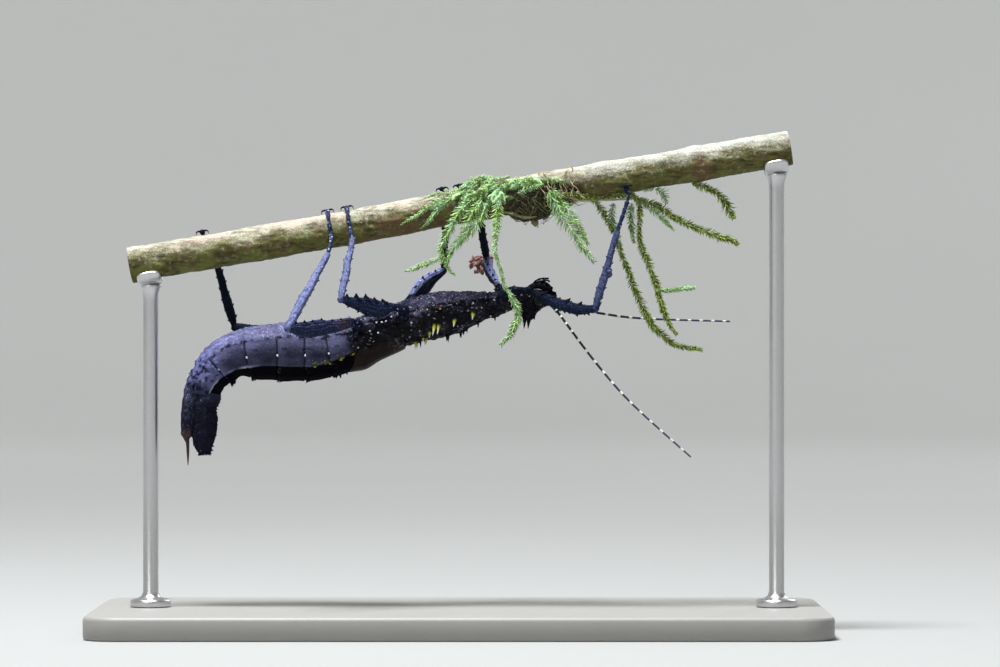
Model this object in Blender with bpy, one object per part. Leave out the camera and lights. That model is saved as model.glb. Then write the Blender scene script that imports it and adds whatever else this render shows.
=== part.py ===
"""A spiny stick insect hanging upside down under a mossy twig, life size, on a plain display stand.

The insect's head points to +X and its left side to -Y. Its belly is up, towards the twig, and its back
is down. Each sub-part is a loft over rings along a smooth path, and spines are drawn out of its faces.
Sizes below are in millimetres. The origin is the middle of the underside of the stand's base.
"""

import bisect
import math

import bmesh
import bpy
from mathutils import Vector

FRONT = Vector((1, 0, 0))
FAR = Vector((0, 1, 0))
UP = Vector((0, 0, 1))

MM = 0.001
GAP = 0.15  # clearance between neighbouring sub-parts
FINE = 12  # steps between two stations when a curve's length is measured

# Display stand
BASE_LENGTH = 124.0
BASE_DEPTH = 60.0
BASE_HEIGHT = 4.0
BASE_CORNER = 6.0
ROD_RADIUS = 1.3
ROD_PLACE = 53.2  # each rod's distance from the middle
FOOT_RADIUS = 3.5
FOOT_HEIGHT = 1.5
CRADLE_LENGTH = 4.0
CRADLE_WALL = 0.9
CRADLE_SPREAD = 62.0  # degrees of twig held on each side of the rod
CRADLE_CLEARANCE = 0.3

# Twig: a nearly straight stem that rises towards +X
TWIG_HALF_LENGTH = 56.1
TWIG_MIDDLE = 72.1
TWIG_SLOPE = 0.1806
TWIG_RADIUS = 2.93
KNOT_PLACE = 12.2
KNOT_LENGTH = 3.6
KNOT_HEIGHT = 1.9

# Trunk centre line from the collar to the tail: x, z, half height, half width
TRUNK = (
    (8.9, 56.2, 1.30, 1.5),
    (7.5, 55.9, 1.70, 1.9),
    (5.1, 55.4, 2.15, 2.3),
    (3.4, 55.2, 2.45, 2.5),
    (0.0, 54.45, 3.35, 2.9),
    (-3.4, 53.75, 3.85, 3.2),
    (-6.8, 53.1, 3.70, 3.4),
    (-10.2, 52.0, 3.65, 3.6),
    (-13.6, 50.75, 3.70, 3.8),
    (-17.0, 49.4, 3.80, 4.1),
    (-20.4, 48.1, 4.35, 4.6),
    (-24.1, 47.5, 4.80, 5.0),
    (-28.6, 47.45, 4.95, 5.1),
    (-33.7, 47.3, 4.60, 4.8),
    (-38.0, 46.6, 4.20, 4.4),
    (-41.0, 44.9, 3.70, 3.9),
    (-42.7, 43.0, 3.15, 3.5),
    (-43.6, 41.4, 3.00, 3.2),
    (-44.1, 40.1, 2.95, 3.0),
)
# Where each trunk part begins, as an x on the centre line, and after the bend as a z
TRUNK_PARTS = (
    ("prothorax", 8.9),
    ("mesothorax", 4.9),
    ("metathorax", -10.3),
    ("abdomen_1", -18.4),
    ("abdomen_2", -22.3),
    ("abdomen_3", -26.2),
    ("abdomen_4", -30.9),
    ("abdomen_5", -36.2),
    ("abdomen_6", -41.2),
)
TRUNK_SIDES = 16
LIP_SIDES = (5, 11)  # ring points that carry the side keel of the abdomen

# Head: x, z, half height, half width, from the neck to the upper lip
HEAD = (
    (9.1, 56.4, 0.95, 1.3),
    (9.9, 56.2, 1.55, 2.0),
    (10.7, 55.7, 2.15, 2.35),
    (11.5, 55.35, 2.50, 2.45),
    (12.3, 55.45, 2.45, 2.45),
    (13.1, 56.0, 1.90, 2.35),
    (13.9, 56.3, 1.45, 2.15),
    (14.8, 56.45, 1.15, 1.9),
    (15.6, 56.6, 0.85, 1.45),
    (16.2, 56.8, 0.45, 0.8),
)
EYE = (13.3, 2.2, 56.0)
EYE_RADIUS = 0.78
EYE_DEPTH = 0.75  # the eye's size across the head, as a share of its height
SOCKET_SIZE = 1.24  # the socket's size, as a share of the eye's
MOUTH = (
    (11.6, 58.35, 0.25, 0.8),
    (12.4, 58.55, 0.50, 1.4),
    (13.3, 58.7, 0.62, 1.75),
    (14.2, 58.55, 0.70, 1.75),
    (15.0, 58.2, 0.60, 1.45),
    (15.7, 57.9, 0.40, 0.95),
)
PALP = ((12.9, 1.0, 59.5), (13.3, 1.05, 59.95), (14.2, 1.1, 60.2), (15.2, 1.15, 60.0))
PALP_RADII = (0.30, 0.28, 0.27, 0.20)

# Antennae: the points that each passes, and their thickness
ANTENNAE = {
    "left": (
        (15.0, -2.4, 56.0), (16.6, -2.8, 54.1), (22.8, -5.0, 45.8),
        (29.0, -7.2, 38.7), (38.9, -10.0, 29.7),
    ),
    "right": (
        (15.1, 2.4, 55.7), (17.0, 3.0, 55.1), (23.7, 5.6, 54.0),
        (31.2, 9.5, 53.1), (46.8, 18.0, 52.6),
    ),
}
ANTENNA_BASE = 0.42
ANTENNA_SHAFT = 0.26

# Legs: the hip's x and angle on the trunk, end of the hip joint, way points of the thigh, knee, ankle,
# then the place on the twig that the foot holds: its x, and the angles, from the top towards -Y, where
# it lands and where it ends
LEGS = {
    "front_left": (
        (7.4, -62), (9.2, -3.9, 58.0), ((11.9, -4.6, 57.6), (14.9, -5.2, 56.2), (19.5, -5.6, 54.6)),
        (22.8, -5.4, 54.7), (26.6, -4.0, 67.6), 27.8, 138, 124,
    ),
    "front_right": (
        (6.9, 62), (6.5, 4.6, 58.5), ((6.1, 8.0, 59.4), (5.1, 12.0, 61.0)),
        (4.5, 16.0, 63.5), (3.1, 7.0, 71.6), 0.5, -80, -8,
    ),
    "mid_left": (
        (-9.0, -58), (-11.2, -4.7, 55.0), ((-13.6, -6.2, 54.6), (-16.6, -8.2, 55.3)),
        (-19.9, -10.5, 56.3), (-18.1, -5.2, 66.4), -18.6, 96, 16,
    ),
    "mid_right": (
        (-9.0, 58), (-8.6, 5.2, 56.4), ((-5.9, 8.4, 59.0),),
        (-2.9, 12.0, 61.5), (-2.6, 5.6, 70.4), -2.4, -80, -6,
    ),
    "hind_left": (
        (-16.4, -56), (-18.2, -5.6, 52.4), ((-20.9, -9.0, 51.8), (-24.9, -14.0, 51.2)),
        (-28.4, -19.0, 51.4), (-22.3, -6.6, 63.7), -21.9, 100, 16,
    ),
    "hind_right": (
        (-16.4, 64), (-18.6, 5.8, 49.8), ((-29.2, 7.4, 49.9),),
        (-38.8, 9.0, 51.6), (-41.9, 6.3, 62.8), -43.3, -82, -4,
    ),
}
HIP_RADII = {"front": (0.70, 0.66, 0.50), "mid": (1.0, 0.95, 0.72), "hind": (1.05, 1.0, 0.75)}
HIP_CLEARANCE = 0.35
# Half heights and half widths along the thigh and the shin
FEMUR_SIZES = {
    "front": ((0.50, 0.42), (0.55, 0.48), (0.80, 0.65), (1.00, 0.75), (0.98, 0.75), (0.70, 0.65)),
    "mid": ((0.75, 0.65), (1.35, 0.80), (1.55, 0.75), (1.15, 0.70), (0.80, 0.70), (0.60, 0.62)),
    "hind": ((0.75, 0.70), (1.00, 0.90), (1.20, 0.90), (1.35, 0.85), (1.10, 0.80), (0.65, 0.70)),
}
TIBIA_SIZES = {
    "front": ((0.45, 0.45), (0.62, 0.58), (0.60, 0.55), (0.55, 0.52), (0.50, 0.48), (0.46, 0.44)),
    "mid": ((0.45, 0.45), (0.60, 0.55), (0.60, 0.55), (0.57, 0.52), (0.52, 0.48), (0.46, 0.44)),
    "hind": ((0.48, 0.48), (0.72, 0.66), (0.74, 0.66), (0.68, 0.62), (0.58, 0.55), (0.50, 0.48)),
}
TARSUS_RADII = (0.36, 0.30, 0.36, 0.30, 0.36, 0.30, 0.34, 0.28, 0.42)
FOOT_CLEARANCE = 0.66  # from the twig's surface to the middle of the foot
APPROACH_ANGLE = 8  # degrees round the twig from where the foot comes in to where it lands
CLAW_LENGTH = 1.3
LIMB_SIDES = 8
STEEP = 0.62  # a leg part that rises more than this has its upper side towards the tail

# Small leathery fore wings on the back
WING_START = -11.2
WING_REAR = (-20.2, -18.3)  # at the back's middle line and at the outer edge
WING_THICKNESS = 0.5

# End of the abdomen: x, z, half height, half width
TAIL = (
    (-42.95, 39.4, 1.90, 2.80),
    (-43.5, 38.0, 2.02, 2.85),
    (-43.5, 36.0, 2.00, 2.70),
    (-43.6, 34.0, 2.00, 2.45),
    (-43.7, 32.3, 1.75, 2.10),
    (-43.6, 30.9, 1.30, 1.60),
    (-43.4, 29.9, 0.85, 1.10),
)
SCOOP = (
    (-46.0, 40.55, 0.50, 1.30),
    (-46.25, 39.2, 0.68, 1.80),
    (-46.5, 37.4, 0.80, 1.95),
    (-46.7, 35.6, 0.80, 1.85),
    (-46.7, 34.0, 0.72, 1.55),
    (-46.45, 32.7, 0.50, 1.00),
    (-46.3, 31.8, 0.32, 0.45),
    (-46.25, 30.0, 0.26, 0.28),
    (-46.25, 28.1, 0.14, 0.14),
)

# Moss: a pad that saddles the twig, and shoots that hang from it. Each shoot has its root, as an x and
# an angle on the pad or as a point on another shoot, and the points that it then passes
MOSS_PAD = (3.4, 17.0)
MOSS_DEPTH = 1.35
MOSS_CLEARANCE = 0.36
RUNNER_END = (22.4, -1.8, 73.1)
RUNNER_FORK = (29.8, -1.1, 73.4)
MOSS_SHOOTS = (
    ((4.6, 100), ((0.5, -4.9, 67.3), (-1.6, -4.9, 64.7), (-1.3, -4.9, 61.8), (0.0, -4.9, 60.6))),
    ((6.4, 106), (
        (6.1, -5.7, 65.4), (7.4, -6.3, 59.2), (9.8, -6.6, 54.2), (9.4, -6.6, 51.5), (7.0, -6.2, 48.6),
    )),
    ((15.4, 102), ((18.8, -4.2, 69.6), (20.7, -4.0, 66.6), (22.7, -3.9, 63.2))),
    ((15.6, 108), (
        RUNNER_END, (26.4, 0.6, 66.7), (29.6, 1.2, 58.5),
        (32.3, 1.3, 52.4), (36.2, 1.2, 48.8), (41.0, 1.0, 47.6),
    )),
    (RUNNER_END, (
        RUNNER_FORK, (30.6, -0.9, 66.0), (33.0, -0.8, 59.8), (34.9, -0.8, 53.6), (36.7, -0.8, 50.5),
    )),
    (RUNNER_FORK, ((33.8, -1.2, 71.9), (39.7, -1.4, 68.5), (47.2, -1.5, 65.9))),
    (RUNNER_FORK, ((35.4, -0.9, 74.2), (41.3, -0.8, 75.1), (45.3, -1.0, 72.6), (46.5, -1.0, 70.0))),
)
SHOOT_RADIUS = 0.42
SHOOT_ROOT = 0.95  # height of a shoot's root over the twig

# Base colour, roughness and metallic value
COLOURS = {
    "steel": ((0.62, 0.62, 0.63, 1.0), 0.35, 1.0),
    "board": ((0.72, 0.71, 0.68, 1.0), 0.5, 0.0),
    "bark": ((0.24, 0.21, 0.13, 1.0), 0.85, 0.0),
    "moss": ((0.20, 0.34, 0.07, 1.0), 0.9, 0.0),
    "shell": ((0.035, 0.037, 0.055, 1.0), 0.38, 0.0),
    "limb": ((0.14, 0.16, 0.27, 1.0), 0.5, 0.0),
    "wing": ((0.035, 0.028, 0.022, 1.0), 0.45, 0.0),
    "eye": ((0.05, 0.035, 0.025, 1.0), 0.15, 0.0),
    "feeler": ((0.03, 0.034, 0.042, 1.0), 0.4, 0.0),
}


def material(name):
    found = bpy.data.materials.get(name)
    if found:
        return found
    made = bpy.data.materials.new(name)
    made.use_nodes = True
    shader = made.node_tree.nodes["Principled BSDF"]
    colour, roughness, metallic = COLOURS[name]
    shader.inputs["Base Color"].default_value = colour
    shader.inputs["Roughness"].default_value = roughness
    shader.inputs["Metallic"].default_value = metallic
    return made


def add_object(name, mesh, finish):
    """Puts a bmesh, modelled in millimetres, into the scene as an object."""
    bmesh.ops.recalc_face_normals(mesh, faces=mesh.faces[:])
    bmesh.ops.scale(mesh, vec=Vector((MM, MM, MM)), verts=mesh.verts[:])
    data = bpy.data.meshes.new(name)
    mesh.to_mesh(data)
    mesh.free()
    data.materials.append(material(finish))
    data.shade_smooth()
    data.set_sharp_from_angle(angle=math.radians(50))
    made = bpy.data.objects.new(name, data)
    bpy.context.scene.collection.objects.link(made)
    return made


def through(stations, place):
    """A point on the smooth curve through the stations, at a place counted in stations from 0."""
    last = len(stations) - 1
    start = min(int(place), last - 1)
    part = place - start
    around = [Vector(stations[min(max(start + step, 0), last)]) for step in (-1, 0, 1, 2)]
    before, here, there, after = around
    bend = 2 * before - 5 * here + 4 * there - after
    turn = 3 * here - before - 3 * there + after
    return 0.5 * (2 * here + (there - before) * part + bend * part**2 + turn * part**3)


def sampled(stations, count):
    """Points spread evenly by length along the smooth curve through the stations."""
    last = len(stations) - 1
    fine = [through(stations, step / FINE) for step in range(FINE * last + 1)]
    lengths = [0.0]
    for near, far in zip(fine, fine[1:]):
        lengths.append(lengths[-1] + (far - near).length)
    points = [fine[0]]
    for step in range(1, count - 1):
        wanted = lengths[-1] * step / (count - 1)
        number = bisect.bisect_left(lengths, wanted)
        part = (wanted - lengths[number - 1]) / (lengths[number] - lengths[number - 1])
        points.append(fine[number - 1].lerp(fine[number], part))
    return points + [fine[-1]]


def directions(points):
    """The unit direction of a path at each of its points."""
    ends = [(points[max(i - 1, 0)], points[min(i + 1, len(points) - 1)]) for i in range(len(points))]
    return [(after - before).normalized() for before, after in ends]


def ring(centre, along, up, half_up, half_side, sides, shape=None, phase=0.0):
    """Points round an oval across a path. Angle 0 is the up side, and a quarter turn is the far side."""
    side = along.cross(up).normalized()
    up = side.cross(along).normalized()
    if side.y < 0:
        side = -side
    points = []
    for number in range(sides):
        angle = 2 * math.pi * (number + phase) / sides
        swell_up, swell_side = shape(number, angle) if shape else (1.0, 1.0)
        rise = up * (math.cos(angle) * half_up * swell_up)
        points.append(centre + rise + side * (math.sin(angle) * half_side * swell_side))
    return points


class Loft:
    """A closed skin over rings of points. Its faces are kept in a grid, and spines can grow from them."""

    def __init__(self, rings):
        self.mesh = bmesh.new()
        loops = [[self.mesh.verts.new(point) for point in points] for points in rings]
        sides = len(loops[0])
        self.grid = []
        for near, far in zip(loops, loops[1:]):
            row = []
            for number in range(sides):
                after = (number + 1) % sides
                row.append(self.mesh.faces.new((near[number], near[after], far[after], far[number])))
            self.grid.append(row)
        self.ends = (self.mesh.faces.new(loops[0][::-1]), self.mesh.faces.new(loops[-1]))
        bmesh.ops.recalc_face_normals(self.mesh, faces=self.mesh.faces[:])

    def spine(self, face, length, lean=(0, 0, 0), waist=0.12):
        """Draws a face out to a point. The lean is added to the face's own direction."""
        way = (face.normal + Vector(lean)).normalized()
        tip = face.calc_center_median() + way * length
        if waist:
            inset = math.sqrt(face.calc_area()) * waist
            bmesh.ops.inset_individual(self.mesh, faces=[face], thickness=inset)
        made = bmesh.ops.poke(self.mesh, faces=[face])
        made["verts"][0].co = tip

    def grow(self, face, route, radii):
        """Draws a face out along a route, as a limb of the same body."""
        way = face.normal.copy()
        for point, along, radius in zip(route, directions(route), radii):
            face = bmesh.ops.extrude_discrete_faces(self.mesh, faces=[face])["faces"][0]
            middle = face.calc_center_median()
            turn = way.rotation_difference(along)
            way = along
            for vert in face.verts:
                vert.co = point + (turn @ (vert.co - middle)).normalized() * radius

    def nearest(self, point):
        """The face of the grid that lies closest to a point."""
        faces = [face for row in self.grid for face in row if face.is_valid and len(face.verts) == 4]
        return min(faces, key=lambda face: (face.calc_center_median() - Vector(point)).length)


# ---------------------------------------------------------------- display stand


def twig_centre(x):
    return Vector((x, 0.25 * math.sin(x / 9.0), TWIG_MIDDLE + TWIG_SLOPE * x + 0.2 * math.sin(x / 13.0)))


def twig_axis(x):
    return (twig_centre(x + 0.5) - twig_centre(x - 0.5)).normalized()


def on_twig(x, angle, height):
    """A point beside the twig. The angle, in degrees, runs from the top towards -Y."""
    along = twig_axis(x)
    up = FAR.cross(-along).normalized()
    turn = math.radians(angle)
    return twig_centre(x) + (up * math.cos(turn) - FAR * math.sin(turn)) * (TWIG_RADIUS + height)


def stand_base():
    mesh = bmesh.new()
    bmesh.ops.create_cube(mesh, size=1.0)
    bmesh.ops.scale(mesh, vec=Vector((BASE_LENGTH, BASE_DEPTH, BASE_HEIGHT)), verts=mesh.verts[:])
    bmesh.ops.translate(mesh, vec=Vector((0, 0, BASE_HEIGHT / 2)), verts=mesh.verts[:])
    upright = [edge for edge in mesh.edges if abs(edge.verts[0].co.z - edge.verts[1].co.z) > 1]
    bmesh.ops.bevel(mesh, geom=upright, offset=BASE_CORNER, segments=4, affect="EDGES", profile=0.5)
    rim = [edge for edge in mesh.edges if min(vert.co.z for vert in edge.verts) > BASE_HEIGHT - 0.01]
    bmesh.ops.bevel(mesh, geom=rim, offset=0.6, segments=2, affect="EDGES", profile=0.5)
    add_object("stand_base", mesh, "board")


def cradle_rings(x):
    """Cross-sections, along the twig, of the open ring on which the twig lies."""
    angles = [180 - CRADLE_SPREAD + 2 * CRADLE_SPREAD * step / 8 for step in range(9)]
    rings = []
    for end in (-0.5, 0.5):
        place = x + end * CRADLE_LENGTH
        inner = [on_twig(place, angle, CRADLE_CLEARANCE) for angle in angles]
        outer = [on_twig(place, angle, CRADLE_CLEARANCE + CRADLE_WALL) for angle in reversed(angles)]
        rings.append(inner + outer)
    return rings


def stand_rod(name, x):
    """A rod with a round foot, joined to the cradle that holds the twig."""
    cradle = add_object(name, Loft(cradle_rings(x)).mesh, "steel")
    top = on_twig(x, 180, CRADLE_CLEARANCE + CRADLE_WALL / 2).z
    foot = BASE_HEIGHT + GAP
    profile = (
        (FOOT_RADIUS - 0.3, foot), (FOOT_RADIUS, foot + 0.3), (FOOT_RADIUS, foot + FOOT_HEIGHT - 0.4),
        (FOOT_RADIUS - 0.4, foot + FOOT_HEIGHT), (ROD_RADIUS, foot + FOOT_HEIGHT + 0.2), (ROD_RADIUS, top),
    )
    rings = []
    for radius, height in profile:
        centre = Vector((on_twig(x, 180, 0).x, twig_centre(x).y, height))
        rings.append(ring(centre, UP, FRONT, radius, radius, 12))
    rod = add_object(name + "_post", Loft(rings).mesh, "steel")
    join(cradle, rod)


def join(kept, added):
    """Unites two objects into the first one."""
    union = kept.modifiers.new("union", "BOOLEAN")
    union.operation = "UNION"
    union.object = added
    added.hide_render = True
    added.display_type = "WIRE"


# ---------------------------------------------------------------- twig and moss


def knot(x, angle):
    """Height of the swollen knot, which is under the twig."""
    along = math.exp(-(((x - KNOT_PLACE) / KNOT_LENGTH) ** 4))
    under = max(0.0, -math.cos(math.radians(angle))) ** 2
    return KNOT_HEIGHT * along * under


def twig():
    sides = 16
    rings = []
    count = 26
    for step in range(count):
        x = -TWIG_HALF_LENGTH + 2 * TWIG_HALF_LENGTH * step / (count - 1)
        bumps = []
        for number in range(sides):
            angle = 360 * number / sides
            wave = 0.06 * math.sin(x / 3.1 + 2 * math.radians(angle)) + 0.05 * math.sin(x / 1.9)
            bumps.append(on_twig(x, angle, wave + knot(x, angle)))
        rings.append(bumps)
    add_object("twig", Loft(rings).mesh, "bark")


def moss():
    """The pad, with the hanging shoots joined to it."""
    start, end = MOSS_PAD
    angles = [-64 + 23 * step for step in range(9)]
    rings = []
    for step in range(9):
        part = step / 8
        x = start + (end - start) * part
        swell = 0.35 + MOSS_DEPTH * math.sin(math.pi * part) ** 0.5
        lumps = [0.55 + 0.45 * math.sin(2.6 * x + angle / 21.0) ** 2 for angle in angles]
        inner = [on_twig(x, angle, MOSS_CLEARANCE + knot(x, angle)) for angle in angles]
        depths = [MOSS_CLEARANCE + 0.14 + swell * lump for lump in lumps]
        heights = [depth + knot(x, angle) for angle, depth in zip(angles, depths)]
        outer = [on_twig(x, angle, height) for angle, height in zip(angles, heights)]
        rings.append(inner + outer[::-1])
    pad = add_object("moss", Loft(rings).mesh, "moss")
    for number, (root, route) in enumerate(MOSS_SHOOTS):
        root = root if len(root) == 3 else on_twig(*root, SHOOT_ROOT)[:]
        points = sampled((root, *route), 2 * len(route))
        tube = []
        for place, (point, along) in enumerate(zip(points, directions(points))):
            thin = 1.0 - 0.4 * place / (len(points) - 1)
            tube.append(ring(point, along, FAR, SHOOT_RADIUS * thin, SHOOT_RADIUS * thin, 5))
        shoot = add_object(f"moss_shoot_{number}", Loft(tube).mesh, "moss")
        join(pad, shoot)


# ---------------------------------------------------------------- trunk


def trunk_at(place):
    """Centre, direction towards the tail, belly direction, half height and half width of the trunk."""
    x, z, height, width = through(TRUNK, place)
    before = through(TRUNK, max(place - 0.05, 0))
    after = through(TRUNK, min(place + 0.05, len(TRUNK) - 1))
    along = Vector((after.x - before.x, 0, after.y - before.y)).normalized()
    belly = Vector((along.z, 0, -along.x))
    return Vector((x, 0, z)), along, belly, height, width


def place_of(x):
    """The place on the trunk where its centre line reaches this x."""
    low, high = 0.0, float(len(TRUNK) - 1)
    for _ in range(40):
        middle = (low + high) / 2
        if through(TRUNK, middle).x > x:
            low = middle
        else:
            high = middle
    return low


def on_trunk(x, angle, height=0.0):
    """A point on the trunk's skin. The angle, in degrees, runs from the belly towards the far side."""
    centre, _, belly, half_height, half_width = trunk_at(place_of(x))
    turn = math.radians(angle)
    up = belly * (math.cos(turn) * (half_height + height))
    return centre + up + Vector((0, math.sin(turn) * (half_width + height), 0))


def thorax_shape(number, angle):
    keel = 1.05 if number in (4, 12) else 1.0
    return keel, keel * (1.0 - 0.06 * math.cos(angle))


def abdomen_shape(number, angle):
    if number in LIP_SIDES:
        return 1.06, 1.05
    back = -math.cos(angle)
    return (0.98, 0.93) if back > 0.5 else (1.0, 1.0)


def trunk_part(name, start, end, shape, swells):
    """A length of the trunk. The swells scale its rings from the front edge to the rear one."""
    rings = []
    for step, swell in enumerate(swells):
        place = start + (end - start) * step / (len(swells) - 1)
        centre, along, belly, height, width = trunk_at(place)
        if step == 0:
            centre = centre + along * GAP
        rings.append(ring(centre, along, belly, height * swell, width * swell, TRUNK_SIDES, shape))
    return Loft(rings)


THORAX_SPINES = (
    # part, x, angle from the belly, length, lean towards the tail
    ("prothorax", 7.0, 118, 0.55, 0.3),
    ("prothorax", 5.8, 150, 0.60, 0.3),
    ("mesothorax", 3.7, 78, 0.55, 0.1),
    ("mesothorax", 2.2, 112, 0.95, 0.2),
    ("mesothorax", 1.6, 158, 0.75, 0.4),
    ("mesothorax", -1.2, 112, 1.10, 0.2),
    ("mesothorax", -1.9, 70, 0.60, 0.2),
    ("mesothorax", 0.0, 160, 0.90, 0.3),
    ("mesothorax", -2.8, 162, 0.90, 0.2),
    ("mesothorax", -4.3, 112, 1.30, 0.1),
    ("mesothorax", -5.3, 70, 0.60, 0.2),
    ("mesothorax", -5.8, 136, 1.00, 0.1),
    ("mesothorax", -7.4, 158, 1.10, 0.1),
    ("mesothorax", -8.9, 168, 0.80, 0.1),
)


def trunk():
    starts = [place_of(x) for _, x in TRUNK_PARTS] + [float(len(TRUNK) - 1)]
    for number, (name, _) in enumerate(TRUNK_PARTS):
        start, end = starts[number], starts[number + 1]
        if name == "prothorax":
            made = trunk_part(name, start, end, thorax_shape, (1.0, 1.04, 0.98, 1.02, 0.97))
        elif name == "mesothorax":
            made = trunk_part(name, start, end, thorax_shape, (0.96,) + (1.0,) * 10 + (0.97,))
        elif name == "metathorax":
            made = trunk_part(name, start, end, thorax_shape, (0.96, 0.99, 1.0, 1.0, 1.0, 0.98))
        else:
            made = trunk_part(name, start, end, abdomen_shape, (0.955, 0.985, 1.0, 1.01, 1.015))
        for part, x, angle, length, lean in THORAX_SPINES:
            if part == name:
                for side in (-1, 1):
                    made.spine(made.nearest(on_trunk(x, side * angle)), length, (-lean, 0, 0))
        if name.startswith("abdomen"):
            rear = made.grid[-1]
            for side in (TRUNK_SIDES // 2 - 1, TRUNK_SIDES // 2):
                made.spine(rear[side], 0.55, (-0.3, 0, 0), 0.2)
            if name == "abdomen_1":
                made.spine(made.grid[1][TRUNK_SIDES // 2 + 1], 0.9)
                made.spine(made.grid[1][TRUNK_SIDES // 2 - 2], 0.9)
        add_object(name, made.mesh, "shell")


def tail():
    """The last back plates, notched at the rear, and the egg scoop under them with its long spike."""
    for name, stations, notched in (("tail", TAIL, True), ("egg_scoop", SCOOP, False)):
        centres = [Vector((x, 0, z)) for x, z, _, _ in stations]
        rings = []
        for (_, _, height, width), centre, along in zip(stations, centres, directions(centres)):
            rings.append(ring(centre, along, -FRONT, height, width, 12))
        made = Loft(rings)
        if notched:
            for row in made.grid[1:]:
                for side in (5, 6):
                    made.spine(row[side], 0.35, (0, 0, -0.6), 0.2)
        add_object(name, made.mesh, "shell")


def wings():
    """Two short, curved flaps over the back, one on each side of its middle line."""
    steps, across = 7, 6
    for name, side in (("wing_left", -1), ("wing_right", 1)):
        outer, inner = [], []
        for step in range(steps + 1):
            part = step / steps
            edge = 122 - 12 * part + 80 * max(0.0, part - 0.75) ** 2
            lift = 0.28 + 0.12 * part
            low, high = [], []
            for number in range(across + 1):
                out = number / across
                x = WING_START + (WING_REAR[0] + (WING_REAR[1] - WING_REAR[0]) * out - WING_START) * part
                angle = side * (177 + (edge - 177) * out)
                thick = WING_THICKNESS * (0.9 + 0.3 * math.sin(math.pi * out))
                low.append(on_trunk(x, angle, lift))
                high.append(on_trunk(x, angle, lift + thick))
            inner.append(low)
            outer.append(high)
        rings = [low + high[::-1] for low, high in zip(inner, outer)]
        add_object(name, Loft(rings).mesh, "wing")


# ---------------------------------------------------------------- head


def head_shape(number, angle):
    """The skull narrows towards the crown, which points down."""
    return 1.0, 1.0 + 0.16 * math.cos(angle)


def eyeball(centre, radius, sides, rings):
    mesh = bmesh.new()
    bmesh.ops.create_uvsphere(mesh, u_segments=sides, v_segments=rings, radius=radius)
    bmesh.ops.scale(mesh, vec=Vector((1.0, EYE_DEPTH, 1.0)), verts=mesh.verts[:])
    bmesh.ops.translate(mesh, vec=centre, verts=mesh.verts[:])
    return mesh


def head():
    rings = []
    for x, z, height, width in HEAD:
        rings.append(ring(Vector((x, 0, z)), FRONT, UP, height, width, 16, head_shape))
    made = Loft(rings)
    for side in (-1, 1):
        made.spine(made.nearest((11.7, side * 0.9, 52.9)), 2.1, (-0.35, 0, -0.9))
        made.spine(made.nearest((10.6, side * 1.0, 53.7)), 0.7, (-0.9, 0, 0))
        made.spine(made.nearest((12.8, side * 0.8, 53.4)), 0.7, (0.3, 0, 0))
        made.spine(made.nearest((10.4, side * 1.9, 54.8)), 0.4, (-0.5, 0, 0))
    capsule = add_object("head", made.mesh, "shell")
    x, y, z = EYE
    for name, side in (("eye_left", -1), ("eye_right", 1)):
        centre = Vector((x, side * y, z))
        add_object(name, eyeball(centre, EYE_RADIUS, 12, 8), "eye")
        cutter = add_object(name + "_socket", eyeball(centre, EYE_RADIUS * SOCKET_SIZE, 8, 6), "shell")
        cutter.hide_render = True
        cutter.display_type = "WIRE"
        cut = capsule.modifiers.new("socket", "BOOLEAN")
        cut.operation = "DIFFERENCE"
        cut.object = cutter


def mouthparts():
    """Jaws and lips as one dome on the underside of the head, with a feeler-like palp on each side."""
    rings = []
    for x, z, height, width in MOUTH:
        rings.append(ring(Vector((x, 0, z)), FRONT, UP, height, width, 10, phase=0.5))
    made = Loft(rings)
    for side in (-1, 1):
        route = [Vector((x, side * y, z)) for x, y, z in PALP]
        made.grow(made.nearest((12.8, side * 0.9, 59.1)), route, PALP_RADII)
    add_object("mouthparts", made.mesh, "shell")


def antennae():
    for side, route in ANTENNAE.items():
        points = sampled(route, 15)
        rings = []
        for number, (point, along) in enumerate(zip(points, directions(points))):
            radius = ANTENNA_BASE if number < 2 else ANTENNA_SHAFT * (1.12 - 0.12 * number / 14)
            rings.append(ring(point, along, UP, radius, radius, 6))
        add_object("antenna_" + side, Loft(rings).mesh, "feeler")


# ---------------------------------------------------------------- legs


def limb(route, sizes, count):
    """A leg part along a route, with its sizes spread evenly over it."""
    points = sampled(route, count)
    rise = (points[-1] - points[0]).normalized().z
    up = -FRONT if abs(rise) > STEEP else UP
    rings = []
    for step, (point, along) in enumerate(zip(points, directions(points))):
        size = through(sizes, (len(sizes) - 1) * step / (count - 1))
        rings.append(ring(point, along, up, size.x, size.y, LIMB_SIDES, phase=0.5))
    return Loft(rings)


def toward(start, end, distance):
    start, end = Vector(start), Vector(end)
    return start + (end - start).normalized() * distance


def teeth(made, rows, side, length, lean):
    for row in rows:
        made.spine(made.grid[row][side], length, lean, 0)


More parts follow.
